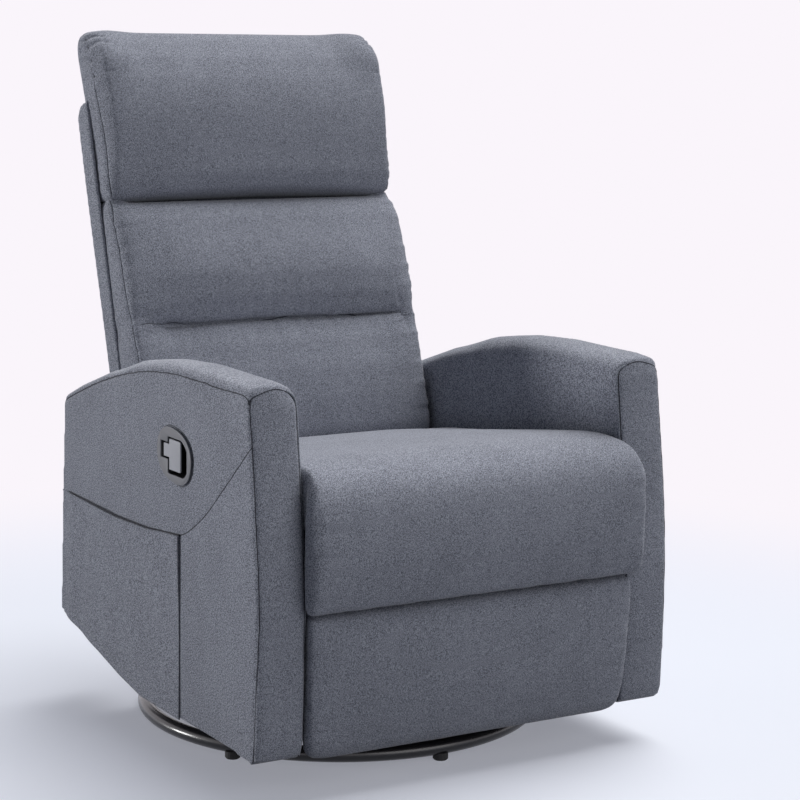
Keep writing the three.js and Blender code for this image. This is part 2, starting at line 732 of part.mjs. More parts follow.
function makeHandle() {
  const face = armOuter + touchGap;
  const flange = slab(handleOval(0), [face, face + cupFlange]);
  const floorFace = face - cupReach;
  const body = slab(handleOval(-cupInset), [floorFace, face + weldDepth]);
  const leverFront = face + leverProud;
  const leverRear = leverFront - leverThickness;
  const paddleStart = leverHinge - leverTabLength;
  const half = leverTabHeight / 2;
  const middle = cupHeight + half / 2;
  const tall = leverPaddleHeight / 2;

  // The recess follows the T of the lever, with room for fingers in front of the paddle and under it
  const depth = [floorFace + cupWall, face + cupFlange + cutOverrun];
  const tabEnds = [paddleStart, leverHinge + leverBarrelRadius + leverRoom];
  const tabRoom = block(depth, tabEnds, [middle - half - leverRoom, middle + half + leverRoom]);
  const paddleEnds = [paddleStart - leverPaddleLength - fingerGap, paddleStart + leverRoom];
  const paddleTall = [cupHeight - tall - fingerRoom, cupHeight + tall + leverRoom];
  const cupInside = slab(handleOval(-cupInset - cupWall), depth);
  const recess = common(joined(tabRoom, block(depth, paddleEnds, paddleTall)), cupInside);
  place(carriage, "handle_cup", onSide(-1, cutBy(joined(flange, body), recess)), darkPlastic());

  const tee = [
    [leverHinge, middle + half],
    [paddleStart, middle + half],
    [paddleStart, cupHeight + tall],
    [paddleStart - leverPaddleLength, cupHeight + tall],
    [paddleStart - leverPaddleLength, cupHeight - tall],
    [paddleStart, cupHeight - tall],
    [paddleStart, middle - half],
    [leverHinge, middle - half],
  ];
  const upright = (radius, length) => {
    const rod = new THREE.CylinderGeometry(radius, radius, length, roundSides);
    return rod.rotateX(Math.PI / 2).translate(leverFront - leverBarrelInset, leverHinge, middle);
  };
  const barrel = upright(leverBarrelRadius, leverTabHeight);
  const pin = upright(leverPinRadius, leverTabHeight + 2 * (leverRoom - touchGap));
  const fits = slab(handleOval(-cupInset - cupWall - touchGap), [floorFace, leverFront + cutOverrun]);
  const lever = common(joined(slab(tee.reverse(), [leverRear, leverFront]), barrel, pin), fits);
  place(carriage, "release_lever", onSide(-1, lever), darkPlastic());

  const start = floorFace - touchGap;
  const [midDepth, midHeight] = [(cupDepth + cableEndDepth) / 2, (cupHeight + cableEndHeight) / 2];
  const path = [
    new THREE.Vector3(start, cupDepth, cupHeight),
    new THREE.Vector3(start - 3 * cableRadius, cupDepth, cupHeight),
    new THREE.Vector3(armInner + armThickness / 4, midDepth, midHeight),
    new THREE.Vector3(armInner + 4 * cableRadius, cableEndDepth, cableEndHeight),
    new THREE.Vector3(armInner, cableEndDepth, cableEndHeight),
  ];
  place(carriage, "release_cable", onSide(-1, tube(path, cableRadius, cableSteps)), rubber());
}

// A cushion: its side profile is carried across the chair, crowned in the middle,
// rounded towards both ends, and drawn in along its side seams.
// Profile rows are [a share, b share, crown share] in the box given by a and b.
const stationShares = [
  -1, -0.985, -0.95, -0.88, -0.7, -0.45, -0.15, 0.15, 0.45, 0.7, 0.88, 0.95, 0.985, 1,
];

function cushion({ halfWidth, a, b, profile, crown, direction, pinch, edgeRadius, drawIn }) {
  const rings = stationShares.map((share) => {
    const past = Math.max(0, (Math.abs(share) * halfWidth - halfWidth + edgeRadius) / edgeRadius);
    const inset = edgeRadius * (1 - Math.sqrt(Math.max(0, 1 - past * past)));
    const lift = crown * (1 - Math.abs(share) ** crownFlatness);
    return profile.map(([aShare, bShare, crownShare]) => {
      const y = a[0] + aShare * (a[1] - a[0]) + direction[0] * crownShare * lift;
      const z = b[0] + bShare * (b[1] - b[0]) + direction[1] * crownShare * lift;
      const keep = 1 - inset / Math.hypot(a[1] - a[0], b[1] - b[0]);
      const drawn = past * drawIn * Math.sin(Math.PI * Math.min(1, Math.max(0, bShare)));
      const x = share * halfWidth - Math.sign(share) * drawn;
      return new THREE.Vector3(x, pinch[0] + (y - pinch[0]) * keep, pinch[1] + (z - pinch[1]) * keep);
    });
  });
  return loft(rings);
}

const seatProfileShares = [
  [0, 0, 0], [0.99, 0, 0], [1, 0.06, 0], [1, 0.6, 0], [0.975, 0.69, 0.3], [0.9, 0.74, 0.7],
  [0.72, 0.82, 1], [0.5, 0.9, 1], [0.28, 0.97, 1], [0.1, 1, 1], [0.03, 0.99, 0.8], [0, 0.9, 0],
];
const upperPadProfileShares = [
  [0, 0, 0], [0.55, 0.03, 0.2], [0.78, 0.16, 0.6], [0.9, 0.36, 1], [0.98, 0.58, 1], [1, 0.75, 1],
  [0.95, 0.89, 0.8], [0.78, 0.96, 0.4], [0.56, 0.98, 0.1], [0.3, 0.965, 0], [0, 0.91, 0],
];
const lowerPadProfileShares = [
  [0, 0, 0], [0.38, 0.012, 0], [0.62, 0.08, 0.3], [0.74, 0.22, 0.8], [0.86, 0.42, 1],
  [0.95, 0.68, 1], [1, 0.84, 1], [0.94, 0.96, 0.5], [0.5, 1, 0], [0, 1, 0],
];

function makeSeatAndPads() {
  const seat = cushion({
    halfWidth: seatHalfWidth,
    a: [seatFront, seatRear],
    b: [seatBase, seatTop],
    profile: seatProfileShares,
    crown: seatCrown,
    direction: [0, 1],
    pinch: [seatFront, seatBase],
    edgeRadius: seatEdgeRadius,
    drawIn: seatDrawIn,
  });
  place(carriage, "seat_cushion", seat, fabric());

  const padRear = seatFront - touchGap;
  const upperFoot = padSplit + touchGap / 2;
  const lowerTop = padSplit - touchGap / 2;
  const shared = {
    halfWidth: seatHalfWidth,
    crown: padCrown,
    direction: [-1, 0],
    edgeRadius: padEdgeRadius,
    drawIn: padDrawIn,
  };
  const upperPad = cushion({
    ...shared,
    a: [padRear, padFront],
    b: [upperFoot, padTop],
    profile: upperPadProfileShares,
    pinch: [padRear, upperFoot],
  });
  const lowerPad = cushion({
    ...shared,
    a: [padRear, lowerPadFront],
    b: [lowerPadBottom, lowerTop],
    profile: lowerPadProfileShares,
    pinch: [padRear, lowerTop],
  });
  place(carriage, "footrest_upper_pad", upperPad, fabric());
  place(carriage, "footrest_lower_pad", lowerPad, fabric());
}

// Where two links of given lengths meet, below the line between their pivots
function elbow(first, firstLength, second, secondLength) {
  const [dy, dz] = [second[0] - first[0], second[1] - first[1]];
  const span = Math.hypot(dy, dz);
  const along = (firstLength ** 2 - secondLength ** 2 + span ** 2) / (2 * span);
  const aside = Math.sqrt(firstLength ** 2 - along ** 2);
  return [first[0] + (along * dy - aside * dz) / span, first[1] + (along * dz + aside * dy) / span];
}

function makeFootrestLinks() {
  const rearPivot = [rearLinkPivotDepth, rearLinkPivotHeight];
  const frontPivot = [frontLinkPivotDepth, frontLinkPivotHeight];
  const bend = elbow(rearPivot, rearLinkLength, frontPivot, frontLinkLength);
  const rearOuter = mechanismInner - linkSideRoom;
  const rearInner = rearOuter - linkThickness;
  const frontOuter = rearInner - linkPlaneGap;
  const frontInner = frontOuter - linkThickness;
  const earOuter = frontInner - touchGap;
  const earInner = earOuter - crossBracketThickness;

  const boss = rodX([frontOuter + touchGap, rearInner + weldDepth], bend[0], bend[1], elbowBossRadius);
  const rearStrap = strap(rearPivot, bend, linkWidth, [[...rearPivot, hole]], [rearInner, rearOuter]);
  const rearLink = joined(rearStrap, boss);
  const frontLink = strap(frontPivot, bend, linkWidth, [[...frontPivot, hole]], [frontInner, frontOuter]);
  for (const [word, side] of [["left", 1], ["right", -1]]) {
    place(carriage, `footrest_rear_link_${word}`, onSide(side, rearLink), blackSteel());
    place(carriage, `footrest_front_link_${word}`, onSide(side, frontLink), blackSteel());
  }

  const tubeEnd = rearInner - touchGap;
  const pinEnd = mechanismOuter - touchGap;
  const driveTube = joined(
    rodX([-tubeEnd, tubeEnd], ...rearPivot, driveTubeRadius),
    rodX([-pinEnd, pinEnd], ...rearPivot, axleRadius));
  place(carriage, "footrest_drive_tube", driveTube, blackSteel());

  const barTop = padSplit - crossBracketThickness;
  const barTall = [barTop - crossBracketHeight, barTop];
  const bar = block([-earOuter, earOuter], [seatFront, seatFront + crossBracketThickness], barTall);
  const pieces = [bar];
  const earFoot = [seatFront + bracketEarWidth / 4, frontLinkPivotHeight];
  for (const side of [1, -1]) {
    const ear = strap(earFoot, frontPivot, bracketEarWidth, [], [earInner, earOuter]);
    const trimmed = common(ear, block([earInner, earOuter], [seatFront, 0], [0, padSplit - touchGap]));
    const stud = rodX([earOuter - weldDepth, frontOuter - touchGap], ...frontPivot, axleRadius);
    pieces.push(onSide(side, trimmed), onSide(side, stud));
  }
  place(carriage, "footrest_cross_bracket", joined(...pieces), blackSteel());
}

// Everything of the back is drawn upright in the back's own frame:
// z runs up the back from its pivot, y runs rearwards.
function makeBack() {
  const top = shellFoot + shellHeight;
  const rounded = (outerRadius, rear, front, high, low) => {
    const points = [[rear, low], [rear, high - outerRadius]];
    for (let i = 1; i <= crownSteps; i++) {
      const a = (i / crownSteps) * (Math.PI / 2);
      points.push([rear - outerRadius * (1 - Math.cos(a)), high - outerRadius * (1 - Math.sin(a))]);
    }
    points.push([front, high], [front, low]);
    return points;
  };
  const edge = rounded(shellCrownRadius, shellRear, -shellFront, top, shellFoot);
  const outer = slab(edge, [-backHalfWidth, backHalfWidth]);
  const innerHalf = backHalfWidth - shellWall;
  const hollowEdge = rounded(shellCrownRadius - shellWall, shellRear - shellWall, -shellFront - cutOverrun,
    top - shellWall, shellFoot - cutOverrun);
  place(back, "back_shell", cutBy(outer, slab(hollowEdge, [-innerHalf, innerHalf])), fabric());

  const bracketOuter = innerHalf - bracketSideRoom;
  const bracketInner = bracketOuter - bracketThickness;
  const boardRear = shellRear - shellWall - touchGap;
  const boardHalf = bracketInner - touchGap;
  const board = block([-boardHalf, boardHalf], [boardRear - backBoardThickness, boardRear],
    [shellFoot + touchGap, top - shellCrownRadius]);
  place(back, "back_board", board, wood());

  const reach = [boardRear - bracketWidth / 2, bracketLength];
  const arm = strap([0, 0], reach, bracketWidth, [], [bracketInner, bracketOuter]);
  const stud = rodX([bracketOuter - weldDepth, mechanismOuter - touchGap], 0, 0, axleRadius);
  const bracket = joined(arm, stud);
  for (const [word, side] of [["left", 1], ["right", -1]]) {
    place(back, `back_bracket_${word}`, onSide(side, bracket), blackSteel());
  }
  makePillows(top);
}

const lumbarProfileShares = [
  [0, 0, 0], [0.5, 0.01, 0], [0.82, 0.05, 0.3], [0.96, 0.16, 0.7], [1, 0.38, 1],
  [1, 0.62, 1], [0.93, 0.83, 0.8], [0.72, 0.95, 0.4], [0.4, 0.99, 0], [0, 1, 0],
];
const middleProfileShares = [
  [0, 0, 0], [0.5, 0.015, 0], [0.86, 0.06, 0.3], [1.05, 0.17, 0.8], [1.08, 0.34, 1],
  [0.98, 0.6, 1], [0.85, 0.82, 0.8], [0.6, 0.95, 0.4], [0.3, 0.99, 0], [0, 1, 0],
];
const headFaceShares = [
  [0, 0, 0], [0.5, 0.012, 0], [0.86, 0.045, 0.3], [1.04, 0.13, 0.8], [1.06, 0.3, 1], [1.03, 0.5, 1],
  [0.97, 0.66, 1], [0.84, 0.8, 0.8], [0.6, 0.9, 0.5], [0.3, 0.97, 0.2], [0, 1, 0],
];
// The overhang behind the head pillow: shares of its reach, and of its rise above the step
const headRearShares = [[0.6, 0.97], [0.95, 0.83], [1, 0.61], [0.9, 0.06], [0.6, 0], [0, 0]];

function makePillows(shellTop) {
  const seatFace = -shellFront - touchGap;
  const pillow = (name, foot, height, thickness, profile, pinchHeight) => {
    const geometry = cushion({
      halfWidth: backHalfWidth,
      a: [seatFace, seatFace - thickness],
      b: [foot, foot + height],
      profile,
      crown: pillowCrown,
      direction: [-1, 0],
      pinch: [seatFace, pinchHeight],
      edgeRadius: pillowEdgeRadius,
      drawIn: pillowDrawIn,
    });
    place(back, name, geometry, fabric());
  };
  const middle = (foot, height) => foot + height / 2;
  const lumbarMiddle = middle(lumbarFoot, lumbarHeight);
  const middleMiddle = middle(middleFoot, middleHeight);
  pillow("lumbar_pillow", lumbarFoot, lumbarHeight, lumbarThickness, lumbarProfileShares, lumbarMiddle);
  pillow("middle_pillow", middleFoot, middleHeight, middleThickness, middleProfileShares, middleMiddle);

  // The head pillow overhangs the top of the shell, so its profile steps back above it
  const stepHeight = shellTop + headStepAbove;
  const stepShare = (stepHeight - headFoot) / headHeight;
  const reachShare = -headRearReach / headThickness;
  const overhang = headRearShares.map(([out, up]) => [reachShare * out, stepShare + up * (1 - stepShare), 0]);
  const headProfile = [...headFaceShares, ...overhang];
  pillow("head_pillow", headFoot, headHeight, headThickness, headProfile, stepHeight);
}

makeBase();
makeTurntable();
makeCarriage();
makeArms();
makeHandle();
makeSeatAndPads();
makeFootrestLinks();
makeBack();

export default holder;
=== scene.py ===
"""Swivel glider recliner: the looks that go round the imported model.

Soft pieces start from copies of the frame's own solids, are swelled by a cloth simulation, and then get
their seams, puckers and folds. Everything is in metres, with the chair facing -Y and +Z up.
"""

import math

import bmesh
import bpy
import numpy as np
from mathutils import Matrix, Vector
from mathutils.bvhtree import BVHTree


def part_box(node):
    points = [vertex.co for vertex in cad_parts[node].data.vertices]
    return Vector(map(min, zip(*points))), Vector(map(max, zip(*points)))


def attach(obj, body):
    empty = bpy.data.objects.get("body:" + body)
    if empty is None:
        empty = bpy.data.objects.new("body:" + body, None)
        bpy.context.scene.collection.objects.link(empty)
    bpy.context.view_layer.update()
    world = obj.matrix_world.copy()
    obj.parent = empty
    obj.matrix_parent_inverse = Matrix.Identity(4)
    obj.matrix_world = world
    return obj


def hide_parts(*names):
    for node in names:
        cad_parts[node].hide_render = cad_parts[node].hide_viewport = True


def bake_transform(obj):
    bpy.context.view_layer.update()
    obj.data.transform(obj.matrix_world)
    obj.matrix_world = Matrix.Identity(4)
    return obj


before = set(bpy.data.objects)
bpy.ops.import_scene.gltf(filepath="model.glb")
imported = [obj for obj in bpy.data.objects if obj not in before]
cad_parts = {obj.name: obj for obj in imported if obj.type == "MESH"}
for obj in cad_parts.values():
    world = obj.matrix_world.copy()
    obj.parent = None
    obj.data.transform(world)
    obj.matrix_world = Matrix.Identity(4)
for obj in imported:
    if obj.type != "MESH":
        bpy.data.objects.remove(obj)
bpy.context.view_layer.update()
MM = 0.001
LEFT, RIGHT = 1, -1
SIDE_NAMES = {LEFT: "left", RIGHT: "right"}

# The back's own frame: s runs up the back from its pivot, n runs forward out of it
BACK_TILT = math.radians(16)
BACK_SIN, BACK_COS = math.sin(BACK_TILT), math.cos(BACK_TILT)
BACK_PIVOT = Vector((0, 0.212, 0.352))

# Mesh fineness
SIM_VOXEL = 6 * MM
FINE_VOXEL = 3.6 * MM
SOFT_VOXEL = 5 * MM


# Meshes in and out of arrays

def linked(name, data):
    """A new object in the scene."""
    made = bpy.data.objects.new(name, data)
    bpy.context.scene.collection.objects.link(made)
    return made


def smooth_shaded(mesh):
    for face in mesh.polygons:
        face.use_smooth = True
    return mesh


def new_piece(bm, name):
    """An object that holds the bmesh, shaded smooth."""
    mesh = bpy.data.meshes.new(name)
    bm.to_mesh(mesh)
    bm.free()
    return linked(name, smooth_shaded(mesh))


def copy_of(*nodes):
    """A bmesh that holds merged copies of the frame's nodes."""
    bm = bmesh.new()
    for node in nodes:
        bm.from_mesh(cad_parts[node].data)
    bmesh.ops.remove_doubles(bm, verts=bm.verts, dist=0.02 * MM)
    return bm


def field_of(piece, name):
    """One row of three for each of the piece's points."""
    found = np.zeros(len(piece.data.vertices) * 3)
    piece.data.vertices.foreach_get(name, found)
    return found.reshape(-1, 3)


def points_of(piece):
    return field_of(piece, "co")


def normals_of(piece):
    return field_of(piece, "normal")


def place_points(piece, points):
    piece.data.vertices.foreach_set("co", np.ascontiguousarray(points, np.float32).ravel())
    piece.data.update()


def evaluated_mesh(piece):
    """What the piece's modifiers or its curve make of it."""
    graph = bpy.context.evaluated_depsgraph_get()
    made = bpy.data.meshes.new_from_object(piece.evaluated_get(graph))
    made.name = piece.name
    return smooth_shaded(made)


def bake_modifiers(piece):
    made = evaluated_mesh(piece)
    piece.modifiers.clear()
    piece.data = made
    return piece


def remeshed(piece, voxel):
    remesh = piece.modifiers.new("voxels", "REMESH")
    remesh.mode = "VOXEL"
    remesh.voxel_size = voxel
    return bake_modifiers(piece)


def relaxed(piece, rounds, factor=0.5):
    """Evens the surface out, which rounds its edges."""
    bm = bmesh.new()
    bm.from_mesh(piece.data)
    for _ in range(rounds):
        bmesh.ops.smooth_vert(
            bm, verts=bm.verts, factor=factor,
            use_axis_x=True, use_axis_y=True, use_axis_z=True,
        )
    bm.to_mesh(piece.data)
    bm.free()
    return piece


def evened(piece, field, rounds):
    """A field on the piece's points with its short ripples averaged away between neighbours."""
    ends = np.zeros(len(piece.data.edges) * 2, int)
    piece.data.edges.foreach_get("vertices", ends)
    first, second = ends.reshape(-1, 2).T
    count = len(field)
    links = np.bincount(first, minlength=count) + np.bincount(second, minlength=count)
    for _ in range(rounds):
        beside = [
            np.bincount(first, column[second], count) + np.bincount(second, column[first], count)
            for column in field.T
        ]
        field = 0.5 * field + 0.5 * np.stack(beside, axis=1) / np.maximum(links, 1)[:, None]
    return field


def subdivided(piece):
    finer = piece.modifiers.new("finer", "SUBSURF")
    finer.levels = finer.render_levels = 1
    return bake_modifiers(piece)


def eased(bm, chosen, offset, segments):
    """Rounds the chosen edges."""
    bmesh.ops.bevel(
        bm, geom=chosen, offset=offset, affect="EDGES", segments=segments, profile=0.5, material=-1,
        clamp_overlap=True,
    )


# Paths and the ripples beside them

def near_path(points, path):
    """How far each point is from the path, and how far along it the nearest spot is."""
    distance = np.full(len(points), 1e9)
    run = np.zeros(len(points))
    start = 0.0
    path = np.array(path, float)
    for a, b in zip(path[:-1], path[1:]):
        way = b - a
        length = np.linalg.norm(way)
        share = np.clip((points - a) @ way / length**2, 0, 1)
        found = np.linalg.norm(points - (a + share[:, None] * way), axis=1)
        closer = found < distance
        distance[closer] = found[closer]
        run[closer] = start + share[closer] * length
        start += length
    return distance, run


def wander(run, wavelength, seed):
    """A smooth line of hills and dips, from -1 to 1, that never quite repeats."""
    t = run / wavelength * 2 * math.pi
    return 0.55 * np.sin(t + seed) + 0.3 * np.sin(1.73 * t + 2.1 * seed) + 0.15 * np.sin(2.9 * t + 3.7 * seed)


def smooth_step(value, low, high):
    t = np.clip((value - low) / (high - low), 0, 1)
    return t * t * (3 - 2 * t)


def ramp(value, low, high):
    """A smooth step between two distances in millimetres."""
    return smooth_step(value, low * MM, high * MM)


def sew(piece, path, depth=3, width=5, pucker=1.2, spacing=17, reach=22, seed=0.0, where=None):
    """Draws a seam into the surface along a path, with the small puckers that the stitches pull beside it.

    Sizes are in millimetres, and where says how much of the seam each point takes.
    """
    depth, width, pucker, spacing, reach = (size * MM for size in (depth, width, pucker, spacing, reach))
    points = points_of(piece)
    distance, run = near_path(points, path)
    dip = -depth * np.exp(-((distance / width) ** 2))
    swell = wander(run, spacing, seed) * (0.6 + 0.4 * wander(run, 7 * spacing, seed + 1))
    shape = distance / reach * np.exp(1 - distance / reach)
    moved = dip + pucker * swell * shape * (distance < 5 * reach)
    if where is not None:
        moved = moved * where(points)
    place_points(piece, points + normals_of(piece) * moved[:, None])


def pucker_along(piece, path, pucker, spacing, reach, seed):
    """Puckers beside a seam whose own groove lies in the cushion's form already."""
    sew(piece, on_surface(piece, path), depth=0, pucker=pucker, spacing=spacing, reach=reach, seed=seed)


def pleat(piece, corner, inward, along, count=3.4, depth=2, reach=30, seed=0.0, spread=0.55):
    """Short folds that fan out from a corner where the cloth is gathered.

    Depth and reach are in millimetres.
    """
    depth, reach = depth * MM, reach * MM
    points = points_of(piece)
    off = points - np.array(corner)
    u, v = off @ np.array(inward), off @ np.array(along)
    far = np.linalg.norm(off, axis=1)
    turn = np.arctan2(v, u) / (math.pi / 2)
    fan = np.sin(2 * math.pi * count * turn + seed + 0.6 * np.sin(5 * turn + seed))
    fade = smooth_step(far, 0, 0.25 * reach) * (1 - smooth_step(far, 0.45 * reach, 1.4 * reach))
    fade = fade * np.exp(-((turn / spread) ** 2))
    place_points(piece, points + normals_of(piece) * (depth * fan * fade)[:, None])


def smooth_path(path, spacing=4 * MM):
    """A path with many points that runs smoothly through the given ones."""
    path = [Vector(p) for p in path]
    ends = [path[0] * 2 - path[1], *path, path[-1] * 2 - path[-2]]
    made = []
    for before, a, b, after in zip(ends, ends[1:], ends[2:], ends[3:]):
        steps = max(2, round((b - a).length / spacing))
        for step in range(steps):
            t = step / steps
            made.append(
                0.5 * (2 * a + (b - before) * t + (2 * before - 5 * a + 4 * b - after) * t**2
                       + (3 * a - before - 3 * b + after) * t**3)
            )
    return [*made, path[-1]]


def on_surface(piece, path, lift=0.0):
    """The path laid on the piece's surface."""
    mesh = piece.data
    tree = BVHTree.FromPolygons([v.co for v in mesh.vertices], [face.vertices for face in mesh.polygons])
    laid = []
    for point in path:
        spot, normal, _, _ = tree.find_nearest(point)
        laid.append(spot + normal * lift)
    for _ in range(3):
        between = [(a + 2 * b + c) / 4 for a, b, c in zip(laid, laid[1:], laid[2:])]
        laid = [laid[0], *between, laid[-1]]
    return laid


def cord_piece(path, name, radius, slot_name, body, taper=0):
    """A thin closed tube along a path, such as a piping. Its radius is in millimetres."""
    curve = bpy.data.curves.new(name, "CURVE")
    curve.dimensions = "3D"
    curve.bevel_depth = radius * MM
    curve.bevel_resolution = 1
    curve.use_fill_caps = True
    spline = curve.splines.new("POLY")
    spline.points.add(len(path) - 1)
    for index, (point, spot) in enumerate(zip(spline.points, path)):
        point.co = (*spot, 1)
        from_end = min(index, len(path) - 1 - index)
        point.radius = min(1, 0.25 + from_end / taper) if taper else 1
    made = linked(name, curve)
    mesh = evaluated_mesh(made)
    bpy.data.objects.remove(made)
    bpy.data.curves.remove(curve)
    return dress(linked(name, mesh), slot_name, body)


def seam_line(piece, path, name, body, radius=0.9, lift=0.1, finish="seam", taper=0):
    """The line that a sewn seam shows: a cord whose dark colour is painted shade, sunk into the groove that it
    pulls.
    """
    return cord_piece(on_surface(piece, smooth_path(path), lift * MM), name, radius, finish, body, taper)


# The back's frame

def back_point(x, s, n):
    """The place in the room of a spot, or of arrays of spots, in the back's frame."""
    return (x, BACK_PIVOT.y + s * BACK_SIN - n * BACK_COS, BACK_PIVOT.z + s * BACK_COS + n * BACK_SIN)


def back_way(s, n):
    """A direction given in the back's frame."""
    return (0, s * BACK_SIN - n * BACK_COS, s * BACK_COS + n * BACK_SIN)


def back_frame(points):
    """The x, s and n of points in the room."""
    y, z = points[:, 1] - BACK_PIVOT.y, points[:, 2] - BACK_PIVOT.z
    return np.stack([points[:, 0], y * BACK_SIN + z * BACK_COS, z * BACK_SIN - y * BACK_COS], axis=1)


def place_local(piece, local):
    place_points(piece, np.stack(back_point(*local.T), axis=1))


# The handle plate's outline, y and z in millimetres: centre, half its length and height
PLATE_CENTRE, PLATE_HALF = (-135, 472), (59, 41)
PLATE_TILT = math.radians(9)
PLATE_SQUARENESS = 0.86


# Cloth simulation, all pads at once

COVER_CLOTH = {
    "quality": 4, "mass": 0.25, "use_pressure": True, "tension_stiffness": 14, "compression_stiffness": 14,
    "shear_stiffness": 8, "bending_stiffness": 15.0,
}
HOLD_LEVELS = 10
EVENING_ROUNDS = 60


def simulate(pads, frames=20):
    """Swells each (piece, how firmly each point is held, furthest a point may move, pressure) in one run."""
    starts = {}
    for piece, held, furthest, pressure in pads:
        group = piece.vertex_groups.new(name="held")
        for level in range(1, HOLD_LEVELS + 1):
            chosen = np.nonzero(np.round(held * HOLD_LEVELS) == level)[0]
            if len(chosen):
                group.add(chosen.tolist(), level / HOLD_LEVELS, "REPLACE")
        cloth = piece.modifiers.new("cloth", "CLOTH")
        for setting, value in COVER_CLOTH.items():
            setattr(cloth.settings, setting, value)
        cloth.settings.uniform_pressure_force = pressure
        cloth.settings.vertex_group_mass = group.name
        cloth.settings.effector_weights.gravity = 0
        cloth.collision_settings.use_collision = False
        cloth.point_cache.frame_start = 1
        cloth.point_cache.frame_end = frames
        starts[piece.name] = points_of(piece)
    for step in range(1, frames + 1):
        bpy.context.scene.frame_set(step)
    graph = bpy.context.evaluated_depsgraph_get()
    for piece, held, furthest, pressure in pads:
        swelled = np.zeros(len(piece.data.vertices) * 3)
        piece.evaluated_get(graph).data.vertices.foreach_get("co", swelled)
        moved = swelled.reshape(-1, 3) - starts[piece.name]
        length = np.linalg.norm(moved, axis=1, keepdims=True)
        eased = furthest * np.tanh(length / furthest)
        piece.modifiers.clear()
        piece.vertex_groups.clear()
        swell = evened(piece, moved * eased / np.maximum(length, 1e-9), EVENING_ROUNDS) * (1 - held)[:, None]
        place_points(piece, starts[piece.name] + swell)
        relaxed(piece, 2)
    bpy.context.scene.frame_set(1)


# Shader maths

def operator(operation):
    """A Python operator that adds a Math node."""
    def add_node(self, other):
        return self.tree.node("ShaderNodeMath", {"operation": operation}, {0: self, 1: other})
    return add_node


class Signal:
    """A shader socket that takes part in Python sums."""

    def __init__(self, tree, socket):
        self.tree = tree
        self.socket = socket

    __add__ = __radd__ = operator("ADD")
    __sub__ = operator("SUBTRACT")
    __mul__ = operator("MULTIPLY")
    __truediv__ = operator("DIVIDE")
    __pow__ = operator("POWER")


class NodeTree:
    """An empty node tree that takes its nodes one call each."""

    def __init__(self, owner):
        owner.use_nodes = True
        self.tree = owner.node_tree
        self.tree.nodes.clear()

    def node(self, kind, settings=None, sockets=None, out=0):
        """A new node: its settings first, then what its sockets hold or take. Gives one output, or a list."""
        made = self.tree.nodes.new(kind)
        for name, value in (settings or {}).items():
            setattr(made, name, value)
        for key, value in (sockets or {}).items():
            self.feed(made.inputs[key], value)
        if isinstance(out, (list, tuple)):
            return [Signal(self, made.outputs[key]) for key in out]
        return Signal(self, made.outputs[out]) if made.outputs else made

    def feed(self, socket, value):
        if isinstance(value, Signal):
            self.tree.links.new(value.socket, socket)
        else:
            socket.default_value = value

    def seen(self):
        """1 where the camera sees the surface, also in a reflection or through glass."""
        rays = [f"Is {kind} Ray" for kind in ("Camera", "Glossy", "Transmission")]
        direct, reflected, through = self.node("ShaderNodeLightPath", out=rays)
        return direct + reflected + through


class Paint(NodeTree):
    """One material and its nodes."""

    def __init__(self, name, **constants):
        self.material = bpy.data.materials.new(name)
        super().__init__(self.material)
        self.shader = self.tree.nodes.new("ShaderNodeBsdfPrincipled")
        self.output = self.tree.nodes.new("ShaderNodeOutputMaterial")
        self.tree.links.new(self.shader.outputs[0], self.output.inputs["Surface"])
        for socket, value in constants.items():
            self.shader.inputs[socket.replace("_", " ")].default_value = value

    def set(self, name, value):
        self.feed(self.shader.inputs[name], value)

    def place(self, *scale):
        """Where a point of the piece is, stretched."""
        where = self.node("ShaderNodeTexCoord", out="Object")
        return self.node(
            "ShaderNodeMapping", {"vector_type": "POINT"}, {"Vector": where, "Scale": scale or (1, 1, 1)}
        )

    def place_parts(self):
        """Where a point of the piece is along each axis."""
        where = self.node("ShaderNodeTexCoord", out="Object")
        return self.node("ShaderNodeSeparateXYZ", None, {0: where}, out=["X", "Y", "Z"])

    def noise(self, vector, scale=1.0, detail=2.0, rough=0.5):
        return self.node(
            "ShaderNodeTexNoise", None,
            {"Vector": vector, "Scale": scale, "Detail": detail, "Roughness": rough}, out="Fac",
        )

    def fade(self, value, start, end, settings=None):
        """0 at the start and 1 at the end."""
        return self.node("ShaderNodeMapRange", settings, {"Value": value, "From Min": start, "From Max": end})

    def mix(self, factor, first, second):
        return self.node("ShaderNodeMix", {"data_type": "RGBA"}, {0: factor, 6: first, 7: second}, out=2)

    def finished(self, colour, height, strength, depth, rough=None):
        """The material, once it has its colour, its relief and, where it varies, its roughness."""
        sockets = {"Strength": strength, "Distance": depth, "Height": height}
        self.set("Base Color", colour)
        self.set("Normal", self.node("ShaderNodeBump", None, sockets, out="Normal"))
        if rough is not None:
            self.set("Roughness", rough)
        return self.material


def rgb(red, green, blue):
    """A colour as a screen shows it, 0 to 255, made linear."""
    shares = [value / 255 for value in (red, green, blue)]
    linear = [c / 12.92 if c <= 0.04 else ((c + 0.055) / 1.055) ** 2.4 for c in shares]
    return (*linear, 1.0)


# Finishes

